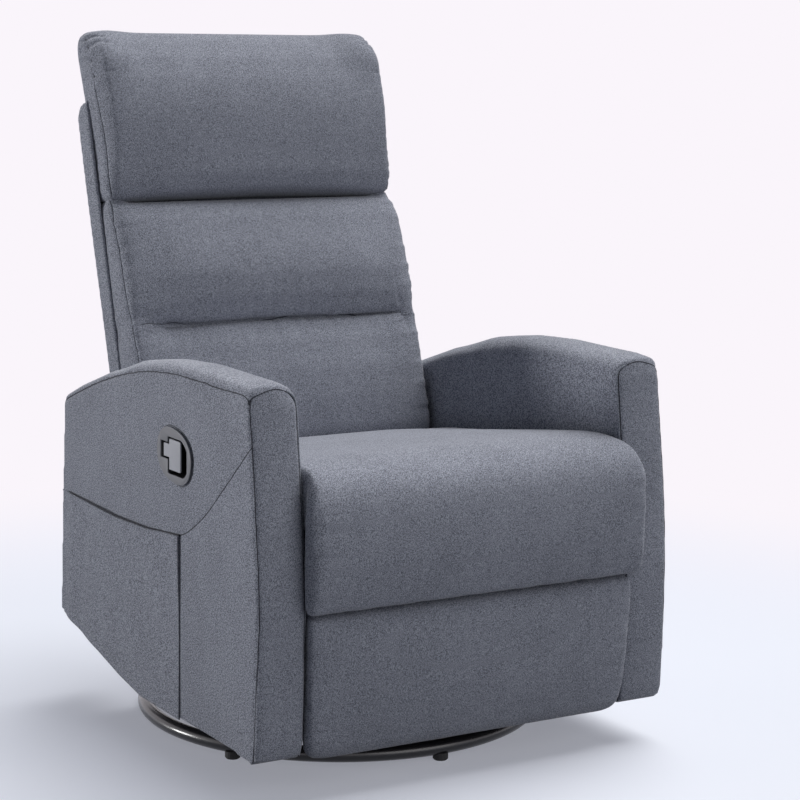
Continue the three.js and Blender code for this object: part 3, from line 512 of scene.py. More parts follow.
def chenille(name, light, dark, wear=0.38):
    """Heathered chenille: crossed short yarns, a fine fleck, and slow changes where the pile lies over."""
    paint = Paint(name, Roughness=0.92, Sheen_Weight=0.22, Sheen_Roughness=0.45, Specular_IOR_Level=0.25)
    weft = paint.noise(paint.place(780, 260, 1350), detail=0.0)
    warp = paint.noise(paint.place(1350, 460, 480), detail=0.0)
    fleck = paint.noise(paint.place(1600, 560, 1600), detail=0.0)
    brushed = paint.noise(paint.place(26, 26, 12), detail=3.0, rough=0.6)
    cloud = paint.noise(paint.place(), 8.0, 3.0, 0.55)
    yarn = (weft - 0.5) * 2.3 + (warp - 0.5) * 2.5 + (fleck - 0.5) * 2.2
    shade = yarn + (brushed - 0.5) * 0.36 + (cloud - 0.5) * wear + 0.5
    return paint.finished(paint.mix(shade, dark, light), yarn, 0.12, 0.35 * MM)


def plain_cloth(name, colour, deep):
    """Thin black woven cloth, as on dust covers."""
    paint = Paint(name, Roughness=0.85, Sheen_Weight=0.1, Specular_IOR_Level=0.3)
    weave = (paint.noise(paint.place(300, 300, 1200)) + paint.noise(paint.place(1200, 1200, 300))) * 0.5
    return paint.finished(paint.mix(weave, deep, colour), weave, 0.35, 0.5 * MM)


def moulded(name, colour, deep, rough):
    """Moulded rubber with a fine spark-eroded grain."""
    paint = Paint(name, Specular_IOR_Level=0.5)
    grain = paint.noise(paint.place(), 1400.0)
    shade = paint.mix(paint.noise(paint.place(), 24.0), deep, colour)
    return paint.finished(shade, grain, 0.12, 0.3 * MM, rough + (grain - 0.5) * 0.12)


def enamel(name, colour, deep, rough):
    """Black enamelled steel, with faint orange peel and scuffs."""
    paint = Paint(name, Metallic=0.0, Coat_Weight=0.4, Coat_Roughness=0.16, Specular_IOR_Level=0.45)
    peel = paint.noise(paint.place(), 260.0)
    scuff = paint.noise(paint.place(60, 60, 400), detail=4.0, rough=0.7)
    return paint.finished(paint.mix(peel, deep, colour), peel, 0.05, 0.3 * MM, rough + (scuff - 0.5) * 0.2)


# Heights between which the box's boards are bare wood, with the black cloth over them elsewhere
CLOTH_EDGES = (100 * MM, 318 * MM)
CLOTH_EDGE_BLUR = 1 * MM


def plywood(name, light, dark):
    """Pale furniture plywood, its long grain along the board, with the black cloth over its edges."""
    paint = Paint(name, Specular_IOR_Level=0.3)
    grain = paint.noise(paint.place(14, 160, 260), detail=4.0, rough=0.6)
    rings = paint.node(
        "ShaderNodeTexWave", {"wave_type": "BANDS", "bands_direction": "Z"},
        {"Vector": paint.place(2, 6, 18), "Scale": 1.0, "Distortion": 6.0, "Detail": 2.0}, out="Fac",
    )
    _, _, height = paint.place_parts()
    wavy_height = height + (paint.noise(paint.place(20, 20, 1)) - 0.5) * 8 * MM
    low, high = CLOTH_EDGES
    above = paint.fade(wavy_height, high, high + CLOTH_EDGE_BLUR)
    below = paint.fade(wavy_height, low + CLOTH_EDGE_BLUR, low)
    wood = paint.mix(grain * 0.7 + rings * 0.3, dark, light)
    shade = paint.mix(above + below, wood, rgb(26, 26, 28))
    return paint.finished(shade, grain, 0.15, 0.4 * MM, 0.6 + grain * 0.2)


def spring_steel(name):
    paint = Paint(name, Metallic=0.9)
    streak = paint.noise(paint.place(80, 80, 80), detail=3.0)
    paint.set("Base Color", paint.mix(streak, rgb(120, 122, 126), rgb(165, 167, 170)))
    paint.set("Roughness", 0.3 + streak * 0.2)
    return paint.material


RECESS_RIM = 4  # the handle plate's rim, in millimetres


def plastic_with_painted_recess_shade(name, colour, face, depth):
    """Grey moulded plastic with painted shade: it goes to near black where it lies deeper than its face, down
    in the recess.

    The face's distance out and the depth are in millimetres.
    """
    paint = Paint(name, Specular_IOR_Level=0.3)
    grain = paint.noise(paint.place(), 1400.0)
    across, along, up = paint.place_parts()
    smooth = {"interpolation_type": "SMOOTHSTEP"}
    deep = paint.fade(across, face * MM, face * MM + depth * MM, smooth)
    y, z = along - PLATE_CENTRE[0] * MM, up - PLATE_CENTRE[1] * MM
    half_length, half_height = ((half - RECESS_RIM) * MM for half in PLATE_HALF)
    out_of_middle = (y / half_length) ** 2 + (z / half_height) ** 2
    inside = paint.fade(out_of_middle, 1.02, 0.96)
    # Painted shade: the plate's recess and the blade's sides darken to near black with depth, for the shade
    # down in the recess
    shade = paint.mix(deep * inside, colour, rgb(15, 15, 17))
    return paint.finished(shade, grain, 0.1, 0.3 * MM, 0.42 + (grain - 0.5) * 0.12)


SLOTS = {
    "fabric": chenille("slate_chenille", rgb(170, 173, 185), rgb(97, 100, 110)),
    # Painted shade: the seam cords are coloured darker than the cloth, for the shade in the sewn seams'
    # grooves, at the bottom of the lumbar fold, in the pocket's mouth and round the handle plate
    "seam": chenille("painted_seam_shade", rgb(66, 68, 76), rgb(40, 41, 47)),
    "soft_seam": chenille("painted_cushion_seam_shade", rgb(98, 101, 110), rgb(62, 64, 72)),
    "piping": chenille("slate_piping", rgb(160, 164, 175), rgb(104, 108, 118)),
    "black_cloth": plain_cloth("black_dust_cloth", rgb(38, 38, 41), rgb(18, 18, 20)),
    "black_tube": enamel("gloss_black_tube", rgb(40, 39, 42), rgb(26, 25, 28), 0.3),
    "black_steel": enamel("black_mechanism_steel", rgb(44, 44, 47), rgb(26, 26, 28), 0.42),
    "wood": plywood("furniture_plywood", rgb(206, 176, 132), rgb(158, 122, 80)),
    "handle_plate": plastic_with_painted_recess_shade("grey_handle_plate", rgb(106, 108, 114), -362.2, 1.2),
    "handle_plastic": plastic_with_painted_recess_shade("grey_handle_plastic", rgb(166, 168, 175), -361.0, 1.6),
    "rubber": moulded("black_rubber", rgb(36, 36, 38), rgb(24, 24, 26), 0.7),
}
SPRING = spring_steel("drawn_spring_wire")


def dress(piece, slot, body=None, stands_for=()):
    """Finish, body and the nodes that a piece stands for."""
    piece.data.materials.clear()
    piece.data.materials.append(SLOTS[slot])
    if body:
        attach(piece, body)
    if stands_for:
        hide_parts(*stands_for)
    return piece


# Back cushions

HEAD_SEAM = [(774, 14), (757, 28), (725, 38), (675, 45), (574, 48), (512, 46), (484, 44)]
BACK_SEAM = [(486, 34), (466, 43), (434, 49), (391, 56), (312, 62), (246, 69), (201, 75), (120, 72), (40, 50)]
HEAD_REAR = [(487, -14), (650, -14), (735, -18), (765, -8)]
BACK_REAR = [(40, -14), (480, -14)]
SIDE_X = 272 * MM
LUMBAR_FOLD = 258 * MM


def seam_on_back(points, side):
    return [back_point(side * SIDE_X, s * MM, n * MM) for s, n in points]


def pulled_out(outline, way):
    """A block from a face with this outline to where it is pulled, and the edges of both its ends."""
    bm = bmesh.new()
    face = bm.faces.new([bm.verts.new(spot) for spot in outline])
    rims = list(face.edges)
    made = bmesh.ops.extrude_face_region(bm, geom=[face])["geom"]
    bmesh.ops.translate(bm, verts=[v for v in made if isinstance(v, bmesh.types.BMVert)], vec=way)
    rims += [e for e in made if isinstance(e, bmesh.types.BMEdge)]
    bmesh.ops.recalc_face_normals(bm, faces=bm.faces)
    return bm, rims


def gusset_slab(side, seam, rear):
    """A side panel of a back cushion: its outline in the back's frame, a little thick."""
    outline = [back_point(side * 246 * MM, s * MM, n * MM) for s, n in (*seam, *rear)]
    return pulled_out(outline, (side * 26 * MM, 0, 0))[0]


# The wedge that closes the lumbar fold: the corners of its broad end as s and n, its sides and its tip's n
FOLD_END = [(212, 67), (258, 69), (304, 60), (258, 16)]
FOLD_END_X, FOLD_TIP_N = 252 * MM, 26 * MM


def fold_end(side, tip_x):
    """A wedge that closes the fold towards one side, so that it runs out instead of stopping short."""
    bm = bmesh.new()
    tip = bm.verts.new(back_point(side * tip_x * MM, LUMBAR_FOLD, FOLD_TIP_N))
    wide = [bm.verts.new(back_point(side * FOLD_END_X, s * MM, n * MM)) for s, n in FOLD_END]
    bm.faces.new(wide)
    for a, b in zip(wide, [*wide[1:], wide[0]]):
        bm.faces.new((a, b, tip))
    bmesh.ops.recalc_face_normals(bm, faces=bm.faces)
    return bm


def joined(*parts):
    """One bmesh out of several, which are freed."""
    whole = bmesh.new()
    for part in parts:
        mesh = bpy.data.meshes.new("part")
        part.to_mesh(mesh)
        part.free()
        whole.from_mesh(mesh)
        bpy.data.meshes.remove(mesh)
    return whole


def cushion_start(name, nodes, seam, rear, low, high, fillers=()):
    """A back cushion before it swells: one skin round its nodes, from one height up the back to another."""
    slabs = [gusset_slab(side, seam, rear) for side in (LEFT, RIGHT)]
    whole = joined(copy_of(*nodes), *slabs, *fillers)
    piece = relaxed(remeshed(new_piece(whole, name), SIM_VOXEL), 5)
    local = back_frame(points_of(piece))
    foot, top = local[:, 1].min(), local[:, 1].max()
    local[:, 1] = low + (local[:, 1] - foot) / (top - foot) * (high - low)
    place_local(piece, local)
    return piece


def head_cushion_start():
    return cushion_start("head_cushion", ["head_pillow"], HEAD_SEAM, HEAD_REAR, 477 * MM, 784 * MM)


def back_cushion_start():
    nodes, fillers = ["middle_pillow", "lumbar_pillow"], [fold_end(RIGHT, 140), fold_end(LEFT, 205)]
    return cushion_start("back_cushion", nodes, BACK_SEAM, BACK_REAR, 26 * MM, 490 * MM, fillers)


def crease(piece, pinch=7 * MM, reach=30 * MM):
    """Closes the valley between the two panels and gives the line at its bottom."""
    local = back_frame(points_of(piece))
    front = local[:, 2] > 20 * MM
    line = []
    for x in np.arange(-240, 241, 12) * MM:
        near = front & (abs(local[:, 0] - x) < 5 * MM) & (abs(local[:, 1] - LUMBAR_FOLD) < 16 * MM)
        lowest = local[near][np.argmin(local[near][:, 2])]
        line.append((x, lowest[1], lowest[2]))
    line = np.array(line)
    for column in (1, 2):
        line[1:-1, column] = (line[:-2, column] + line[1:-1, column] + line[2:, column]) / 3
    line[:, 1] += 2.5 * MM * np.sin(line[:, 0] / (46 * MM))
    bottom = np.interp(local[:, 0], line[:, 0], line[:, 1])
    off = local[:, 1] - bottom
    closing = pinch * np.tanh(off / (4 * MM)) * (1 - smooth_step(abs(off), 3 * MM, reach))
    closing *= front * (1 - ramp(abs(local[:, 0]), 258, 276))
    closing *= ramp(local[:, 0], -236, -150)
    closing *= ramp(local[:, 2] - np.interp(local[:, 0], line[:, 0], line[:, 2]), 0, 5)
    local[:, 1] -= closing
    place_local(piece, local)
    inside = [back_point(x, s, n + 1.5 * MM) for x, s, n in line]
    ends = [back_point(side * 267 * MM, LUMBAR_FOLD + 5 * MM, 82 * MM) for side in (RIGHT, LEFT)]
    return [ends[0], *inside, ends[1]]


def held_back(piece, seam, rear, fold=None):
    """How firmly the cushion is held: at its seams, behind, and along its fold."""
    points = points_of(piece)
    held = np.zeros(len(points))
    for side in (LEFT, RIGHT):
        distance, _ = near_path(points, seam_on_back(seam, side))
        held = np.maximum(held, 1 - ramp(distance, 5, 12))
    local = back_frame(points)
    held = np.maximum(held, 1 - smooth_step(local[:, 2], rear, rear + 14 * MM))
    if fold is not None:
        off = np.hypot(local[:, 1] - fold[0], local[:, 2] - fold[1])
        ends = 1 - ramp(abs(local[:, 0]), 150, 262)
        held = np.maximum(held, (1 - ramp(off, 9, 20)) * ends)
    return held


def fuller(piece, seam, height, spread, amount, across=None):
    """Pushes a cushion's front panel out between its side seams, most at one height.

    Sizes are in millimetres. Across, it starts at the first distance from the middle and is full at the second.
    """
    points = points_of(piece)
    local = back_frame(points)
    off_seam = np.minimum(*[near_path(points, seam_on_back(seam, side))[0] for side in (LEFT, RIGHT)])
    facing = normals_of(piece) @ np.array(back_way(0, 1))
    share = np.exp(-(((local[:, 1] - height * MM) / (spread * MM)) ** 2)) * smooth_step(facing, 0.0, 0.7)
    share *= ramp(abs(local[:, 0]), *across) if across else 1
    local[:, 2] += amount * MM * share * ramp(off_seam, 3, 20)
    place_local(piece, local)


def fill_fold_ends(piece, amount=9 * MM, spread=42 * MM):
    """The fold between the two panels runs out before it gets to the cushion's sides."""
    local = back_frame(points_of(piece))
    facing = normals_of(piece) @ np.array(back_way(0, 1))
    share = np.exp(-(((local[:, 1] - LUMBAR_FOLD) / spread) ** 2)) * smooth_step(facing, 0.1, 0.6)
    local[:, 2] += amount * share * ramp(abs(local[:, 0]), 165, 250)
    place_local(piece, local)


def eared(piece, top, rise):
    """Lifts a cushion's two upper corners a little over its sunk middle."""
    local = back_frame(points_of(piece))
    high = smooth_step(local[:, 1], top - 50 * MM, top)
    local[:, 1] += rise * high * (np.exp(-(((abs(local[:, 0]) - 228 * MM) / (34 * MM)) ** 2)) - 0.35)
    place_local(piece, local)


# Sewn folds at the head cushion's upper corners: height, rise and how far each runs inwards, in millimetres
HEAD_FOLDS = [(764, 4, 40), (748, 2, 30), (730, -6, 36), (700, -3, 24)]
HEAD_EDGE_X = 276


def head_fold(side, s, rise, inward):
    """A short fold from the cushion's side round its edge and up its front."""
    spots = [(HEAD_EDGE_X + 5, s, 8), (HEAD_EDGE_X, s + rise, 34), (HEAD_EDGE_X - inward, s + 2 * rise, 62)]
    return smooth_path([back_point(side * x * MM, up * MM, out * MM) for x, up, out in spots])


def near_head_edge(spots):
    return 1 - ramp(abs(abs(spots[:, 0]) - HEAD_EDGE_X * MM), 14, 38)


def finish_head(piece):
    subdivided(piece)
    fuller(piece, HEAD_SEAM, 638, 104, 18)
    fuller(piece, HEAD_SEAM, 735, 38, 11, across=(185, 250))
    eared(piece, 770 * MM, 3.5 * MM)
    points = points_of(piece)
    wide = ramp(back_frame(points)[:, 1], 540, 700) * ramp(abs(points[:, 0]), 180, 260)
    points[:, 0] += np.sign(points[:, 0]) * 5 * MM * wide
    points[:, 1] -= 4 * MM * wide
    place_points(piece, points)
    for side in (LEFT, RIGHT):
        for s, rise, inward in HEAD_FOLDS:
            fold = on_surface(piece, head_fold(side, s, rise, inward))
            sew(piece, fold, depth=3.2, width=3.2, pucker=0, where=near_head_edge)
        path = seam_on_back(HEAD_SEAM, side)
        sew(piece, path, width=3.5, pucker=1.3, spacing=19, reach=8, seed=side * 1.3)
        corner = back_point(side * 266 * MM, 752 * MM, 36 * MM)
        pleat(piece, corner, (-side, 0, 0), back_way(0.9, 0.3), depth=3, reach=26, seed=side * 0.8)
        seam_line(piece, path, f"head_seam_{SIDE_NAMES[side]}", "back", finish="soft_seam")
    return dress(piece, "fabric", "back", ["head_pillow"])


LUMBAR_TUCKS = [(-162, 0.3), (98, 2.0)]  # how far across, and the seed of the folds there


def finish_back_cushion(piece):
    subdivided(piece)
    fill_fold_ends(piece)
    fuller(piece, BACK_SEAM, 352, 62, 8, across=(262, 140))
    for side in (LEFT, RIGHT):
        path = seam_on_back(BACK_SEAM, side)
        sew(piece, path, width=3.5, pucker=1.7, spacing=30, reach=11, seed=side * 2.1)
        seam_line(piece, path, f"back_seam_{SIDE_NAMES[side]}", "back", finish="soft_seam")
    fold = crease(piece)
    sew(piece, fold, depth=2.5, width=4, pucker=1.8, spacing=38, reach=17, seed=0.4)
    for side in (LEFT, RIGHT):
        end = back_point(side * 262 * MM, LUMBAR_FOLD, 74 * MM)
        pleat(piece, end, (-side, 0, 0), back_way(1, 0), depth=1.6, reach=34, seed=side)
    for x, seed in LUMBAR_TUCKS:
        tuck = min(fold, key=lambda spot: abs(spot[0] - x * MM))
        pleat(piece, tuck, (1, 0, 0), back_way(-1, 0), count=2.6, depth=1.8, reach=24, seed=seed, spread=1.2)
    # The fold's points are 12 mm apart: a dark line of painted shade along its bottom in the middle, and
    # fainter ones that run out at its ends
    seam_line(piece, fold[8:-4], "lumbar_fold_line", "back", lift=-0.5, taper=14)
    seam_line(piece, fold[:9], "lumbar_fold_right_end", "back", radius=0.7, finish="soft_seam", taper=10)
    seam_line(piece, fold[-5:], "lumbar_fold_left_end", "back", radius=0.7, finish="soft_seam", taper=10)
    return dress(piece, "fabric", "back", ["middle_pillow", "lumbar_pillow"])


# The rear cover's seams: distance across and depth behind the pivot, and the heights of the upright ones
REAR_SEAM_X, REAR_SEAM_N = 262, -70 * MM
REAR_SEAM_HEIGHTS = (24, 300, 560, 624)
REAR_FOOT_HEIGHT = 80 * MM


def back_cover():
    """The upholstered shell behind the cushions, pulled over the board in it."""
    piece = relaxed(remeshed(new_piece(copy_of("back_shell", "back_board"), "back_cover"), SOFT_VOXEL), 2)
    local = back_frame(points_of(piece) + normals_of(piece) * 1.5 * MM)
    high = ramp(local[:, 1], 150, 600)
    local[:, 2] -= 9 * MM * high * ramp(-local[:, 2], 25, 55)
    local[:, 0] *= 1 + 3 * MM * high / SIDE_X
    place_local(piece, local)
    for side in (LEFT, RIGHT):
        edge = [back_point(side * REAR_SEAM_X * MM, s * MM, REAR_SEAM_N) for s in REAR_SEAM_HEIGHTS]
        sew(piece, edge, depth=2, width=3, pucker=0.6, spacing=24, reach=8, seed=side)
        seam_line(piece, edge, f"rear_edge_seam_{SIDE_NAMES[side]}", "back", finish="soft_seam")
    foot = [back_point(x * MM, REAR_FOOT_HEIGHT, REAR_SEAM_N) for x in (-REAR_SEAM_X, -90, 90, REAR_SEAM_X)]
    sew(piece, foot, depth=2, width=3, pucker=0.6, spacing=24, reach=8, seed=3)
    seam_line(piece, foot, "rear_foot_seam", "back", finish="soft_seam")
    return dress(piece, "fabric", "back", ["back_shell"])


# Seat and footrest cushions

# The waterfall cushion's edge from the side, y and z in millimetres: seat, over the roll, back under
SEAT_EDGE = [
    (146, 424), (40, 440), (-60, 454), (-160, 469), (-260, 483), (-330, 491), (-374, 491), (-410, 484),
    (-434, 466), (-447, 437), (-450, 400), (-449, 350), (-443, 306), (-433, 284), (-412, 280),
    (-394, 282), (-388, 300), (-384, 346), (146, 346),
]
SEAT_SIDE = 279 * MM
ROLL_CORNER = 10 * MM
ROLL_EDGE = [(-440, 300), (-447, 350), (-448, 400), (-440, 445)]
SHOWN_EDGE = 15  # so many of the edge's points show


def slab(edge, shown_points, reach, name, rounding):
    """A cushion block: its edge from the side, smooth where it shows, pulled out sideways and rounded."""
    shown = smooth_path([(-reach, y * MM, z * MM) for y, z in edge[:shown_points]], 8 * MM)
    hidden = [(-reach, y * MM, z * MM) for y, z in edge[shown_points:]]
    bm, rims = pulled_out([*shown, *hidden], (2 * reach, 0, 0))
    eased(bm, rims, rounding, 3)
    return new_piece(bm, name)


def seat_start():
    """The seat and the upper footrest pad as one waterfall cushion."""
    piece = relaxed(remeshed(slab(SEAT_EDGE, SHOWN_EDGE, SEAT_SIDE, "seat_cover", 4 * MM), SIM_VOXEL), 1)
    points = points_of(piece)
    across, forward, height = abs(points[:, 0]), -points[:, 1], points[:, 2]
    in_front = ramp(forward, 401, 416) * (1 - ramp(height, 440, 480))
    points[:, 0] *= 1 + (4 * ramp(forward, 398, 416) + 7 * in_front) * MM / SEAT_SIDE
    turn = np.clip((across - (SEAT_SIDE - ROLL_CORNER)) / ROLL_CORNER, 0, 1)
    on_front = ramp(forward, 392, 440) * (1 - 0.9 * ramp(height, 400, 470))
    on_front *= 0.45 + 0.55 * ramp(height, 282, 340)
    points[:, 1] += ROLL_CORNER * (1 - np.sqrt(1 - turn**2)) * on_front
    crowned = 7 * MM * (1 - ramp(across, 130, 265)) * (1 - ramp(forward, 120, 300))
    points[:, 2] += (crowned - 2.5 * MM) * ramp(height, 405, 430)
    place_points(piece, points)
    return piece


def held_seat(piece):
    points = points_of(piece)
    under = 1 - ramp(points[:, 2], 352, 372)
    under = under * (points[:, 1] > -370 * MM)
    behind = ramp(points[:, 1], 110, 135)
    normal = normals_of(piece)
    inner = (points[:, 2] < 440 * MM) & (points[:, 1] < -360 * MM) & (normal[:, 1] > 0.3)
    low = 1 - ramp(points[:, 2], 280, 292)
    sides = ramp(abs(points[:, 0]), 262, 274)
    return np.maximum.reduce([under, behind, inner, low, sides])


def finish_seat(piece):
    """Keeps the skin that shows, from the seat's rear over the roll to the pad's lower edge."""
    subdivided(piece)
    hem = [(x * MM, -441 * MM, 298 * MM) for x in range(-285, 286, 15)]
    pucker_along(piece, hem, 1.2, 70, 15, 0.9)
    for side in (LEFT, RIGHT):
        corner = smooth_path([(side * 287 * MM, y * MM, z * MM) for y, z in ROLL_EDGE])
        pucker_along(piece, corner, 1.2, 34, 12, side * 1.7)
    bm = bmesh.new()
    bm.from_mesh(piece.data)
    pad_rear, lowest_seat = -392 * MM, 400 * MM
    middles = [(face, face.calc_center_median()) for face in bm.faces]
    hidden = [face for face, middle in middles if middle.y > pad_rear and middle.z < lowest_seat]
    bmesh.ops.delete(bm, geom=hidden, context="FACES")
    bmesh.ops.solidify(bm, geom=bm.faces, thickness=3 * MM)
    bm.to_mesh(piece.data)
    bm.free()
    smooth_shaded(piece.data)
    dress(piece, "fabric")
    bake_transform(piece)
    return piece


def seat_bodies():
    """What the cover is sewn to: the seat's own sides and underside, and the pad's rear."""
    for node, name, body in (
        ("seat_cushion", "seat_body", "carriage"), ("footrest_upper_pad", "upper_pad_body", "upper_pad"),
    ):
        piece = relaxed(remeshed(new_piece(copy_of(node), name), SIM_VOXEL), 6)
        place_points(piece, points_of(piece) - normals_of(piece) * (5 * MM))
        dress(piece, "fabric", body, [node])


def lower_pad_start():
    piece = relaxed(remeshed(new_piece(copy_of("footrest_lower_pad"), "lower_pad_cushion"), SIM_VOXEL), 1)
    points = points_of(piece)
    in_front = ramp(-points[:, 1], 400, 414)
    points[:, 0] *= (278 * MM + 6 * MM * in_front) / abs(points[:, 0]).max()
    place_points(piece, points)
    return piece


def held_lower_pad(piece):
    points = points_of(piece)
    behind = ramp(points[:, 1], -400, -388)
    sides = ramp(abs(points[:, 0]), 268, 273)
    low = 1 - ramp(points[:, 2], 62, 72)
    high = ramp(points[:, 2], 268, 276)
    return np.maximum.reduce([behind, sides, low, high])


def finish_lower_pad(piece):
    subdivided(piece)
    reach, front = 282 * MM, -428 * MM
    for side in (LEFT, RIGHT):
        edge = smooth_path([(side * reach, front, z * MM) for z in (70, 120, 170, 220, 268)])
        pucker_along(piece, edge, 1.3, 36, 12, side * 0.6)
    hem = [(x * MM, front, 268 * MM) for x in range(-280, 281, 20)]
    pucker_along(piece, hem, 1.2, 40, 12, 2.2)
    return dress(piece, "fabric", "lower_pad", ["footrest_lower_pad"])


# Arms

ARM_OUT = 360 * MM
ARM_IN = 281 * MM
SET_BACK = 12 * MM
# The panel's edge as y and z in millimetres, from the bottom of the front up and back along the top
ARM_EDGE = [
    (-400, 66), (-413, 178), (-415, 298), (-405, 420), (-392, 540), (-385, 583), (-370, 592),
    (-291, 593), (-192, 595), (-94, 591), (8, 578), (117, 553), (223, 520), (290, 495),
]
ARM_FRONT = [(-400, 66), (-413, 178), (-415, 298), (-405, 420), (-392, 522), (-385, 583), (-381, 600)]
DIAGONAL = [(-152, 352), (-184, 362), (-243, 397), (-308, 450), (-355, 490), (-392, 522)]
POCKET_HEM = [(-159, 351), (-50, 342), (63, 339), (175, 342), (302, 345)]
POCKET_FOOT = [(-150, 70), (-21, 71), (60, 85), (178, 112), (303, 140)]


def side_path(points, x):
    return [(x, y * MM + SET_BACK, z * MM) for y, z in points]


def arm_cover(side):
    name = SIDE_NAMES[side]
    nodes = [f"arm_frame_{name}", f"arm_panel_{name}", f"arm_cap_{name}"]
    piece = remeshed(new_piece(copy_of(*nodes), f"arm_cover_{name}"), FINE_VOXEL)
    relaxed(piece, 3)
    points = points_of(piece)
    crown = 5 * MM * ramp(points[:, 2], 570, 600)
    place_points(piece, points + crown[:, None] * np.array([0, 0, 1]))
    top = side_path(ARM_EDGE[5:], side * ARM_OUT)
    band = arm_band(side)
    diagonal = side_path(DIAGONAL, side * ARM_OUT)
    seams = [("top", top, 2.5), ("band", band, 2.5), ("diagonal", diagonal, 2)]
    for index, (label, path, depth) in enumerate(seams):
        sew(piece, path, depth=depth, width=2.6, pucker=0.4, seed=side * (0.7 + index))
        seam_line(piece, path, f"arm_{label}_seam_{name}", "carriage")
    if side == RIGHT:
        edge = plate_edge(1.5, side * ARM_OUT)
        sew(piece, edge, depth=1.2, width=2.4, pucker=0)
        # Painted shade: a dark cord in the groove round the handle plate, for the shade of the gap between the
        # cloth and the plate
        seam_line(piece, edge, "handle_plate_gap", "carriage", radius=0.7, lift=-0.2)
    inner = [point for point in band if abs(point[0]) < ARM_IN + 30 * MM]
    beside = 2.2 * MM
    outward = [(x - side * beside, y + beside, z) for x, y, z in inner]
    seam_line(piece, outward, f"arm_piping_{name}", "carriage", radius=1.6, lift=0.6, finish="piping")
    return dress(piece, "fabric", "carriage", nodes)


# The arm's front panel in millimetres: its foot, its top, and the radii it turns over with outside and inside
BAND_FOOT, BAND_TOP = 66, 600
BAND_OUTER_TURN, BAND_INNER_TURN = 12, 24
BAND_OUT, BAND_IN = 360, 281


def arm_band(side):
    """The seam round the arm's front panel: up its outer edge, over the top and down its inner edge."""
    outer = [(BAND_OUT - BAND_OUTER_TURN * (1 - math.cos(a)), 580 + BAND_OUTER_TURN * math.sin(a))
             for a in (0.5, 1.0, 1.4)]
    inner = [(BAND_IN + BAND_INNER_TURN * (1 - math.sin(a)), 573 + BAND_INNER_TURN * math.cos(a))
             for a in (0.1, 0.6, 1.1, 1.5)]
    outline = [
        (BAND_OUT, BAND_FOOT), (BAND_OUT, 300), (BAND_OUT, 576), *outer, (335, 597), (318, BAND_TOP),
        *inner, (BAND_IN, 500), (BAND_IN, 300), (BAND_IN, BAND_FOOT),
    ]
    front_y, front_z = zip(*ARM_FRONT)
    return [(side * x * MM, np.interp(z, front_z, front_y) * MM + SET_BACK, z * MM) for x, z in outline]


def cloth_panel(name, columns, rows, place, thickness):
    """A cloth with a wall, from a flat grid whose spots, 0 to 1 across and up, are put in place."""
    bm = bmesh.new()
    bmesh.ops.create_grid(bm, x_segments=columns, y_segments=rows, size=0.5)
    for vert in bm.verts:
        vert.co = place(vert.co.x + 0.5, vert.co.y + 0.5)
    bmesh.ops.recalc_face_normals(bm, faces=bm.faces)
    piece = new_piece(bm, name)
    wall = piece.modifiers.new("cloth_thickness", "SOLIDIFY")
    wall.thickness = thickness
    wall.offset = 0
    return piece


POCKET_END = 12 * MM  # from the pocket's rear end to the arm's
POCKET_LIFT = 1.2 * MM


def pocket_point(side, across, up, lift=0.0):
    """A spot on the pocket, from its front seam (0) to the rear and from its foot (0) to the hem."""
    lo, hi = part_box(f"side_pocket_{SIDE_NAMES[side]}")
    y = lo.y + across * (hi.y - POCKET_END - lo.y)
    top, foot = (np.interp((y - SET_BACK) / MM, *zip(*edge)) * MM for edge in (POCKET_HEM, POCKET_FOOT))
    sag = math.sin(math.pi * across) * up**2.5 * 4 * MM
    ripple = 1.5 * MM * math.sin(9 * math.pi * across + 1.5 * up) * (1 - up * 0.4)
    ripple *= smooth_step(across, 0.55, 0.95) * (1 - smooth_step(across, 0.95, 1.0))
    tug = 1.9 * MM * math.sin(26 * across - 5 * up) * math.exp(-((across / 0.2) ** 2)) * up
    tucked = 2.6 * MM * smooth_step(across, 0.9, 1.0)
    return (side * (ARM_OUT + POCKET_LIFT + sag + ripple + tug + lift - tucked), y, foot + up * (top - foot))


def pocket(side):
    """A patch pocket on the arm: a sheet sewn on three sides, whose rolled hem stands a little open."""
    name = SIDE_NAMES[side]
    piece = cloth_panel(f"pocket_{name}", 110, 72, lambda a, b: pocket_point(side, a, b), 2 * MM)
    dress(piece, "fabric", "carriage", [f"side_pocket_{name}"])
    steps = np.linspace(0, 1, 70)
    below_hem = 2.2 * MM
    hem = [pocket_point(side, a, 1, 0.4 * MM) for a in steps]
    mouth = [Vector(pocket_point(side, a, 1, -below_hem)) + Vector((0, 0, below_hem)) for a in steps]
    front = [pocket_point(side, 0, b, 0.6 * MM) for b in steps]
    cord_piece(hem, f"pocket_hem_{name}", 1.7, "fabric", "carriage")
    # Painted shade: a dark cord just below the hem, for the shade in the pocket's open mouth
    cord_piece(mouth, f"pocket_mouth_{name}", 1.7, "seam", "carriage")
    cord_piece(front, f"pocket_seam_{name}", 0.7, "soft_seam", "carriage")
    return piece


# Black cloths of the box

BLACK_CLOTH_WALL = 1.6 * MM


def rear_flap():
    """The dust cloth that closes the box below the back and folds over its board."""
    lo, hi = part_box("rear_flap")
    reach, foot, top = 275 * MM, 81 * MM, 342.6 * MM
    rear = (lo.y + hi.y) / 2
    fold = top - foot
    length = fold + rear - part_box("box_board_rear")[0].y

    def spot(a, b):
        run = b * length
        up = min(run, fold)
        wave = 1.6 * MM * math.sin(2 * math.pi * (3.4 * a + 3 * up)) * (1 - up / fold)
        wave += 0.8 * MM * math.sin(31 * a + 12 * up)
        return ((2 * a - 1) * reach, rear - max(0, run - fold) + wave * ramp(fold - up, 0, 60), foot + up)

    piece = cloth_panel("rear_flap_cloth", 90, 60, spot, BLACK_CLOTH_WALL)
    dress(piece, "black_cloth", "carriage", ["rear_flap"])
    return piece


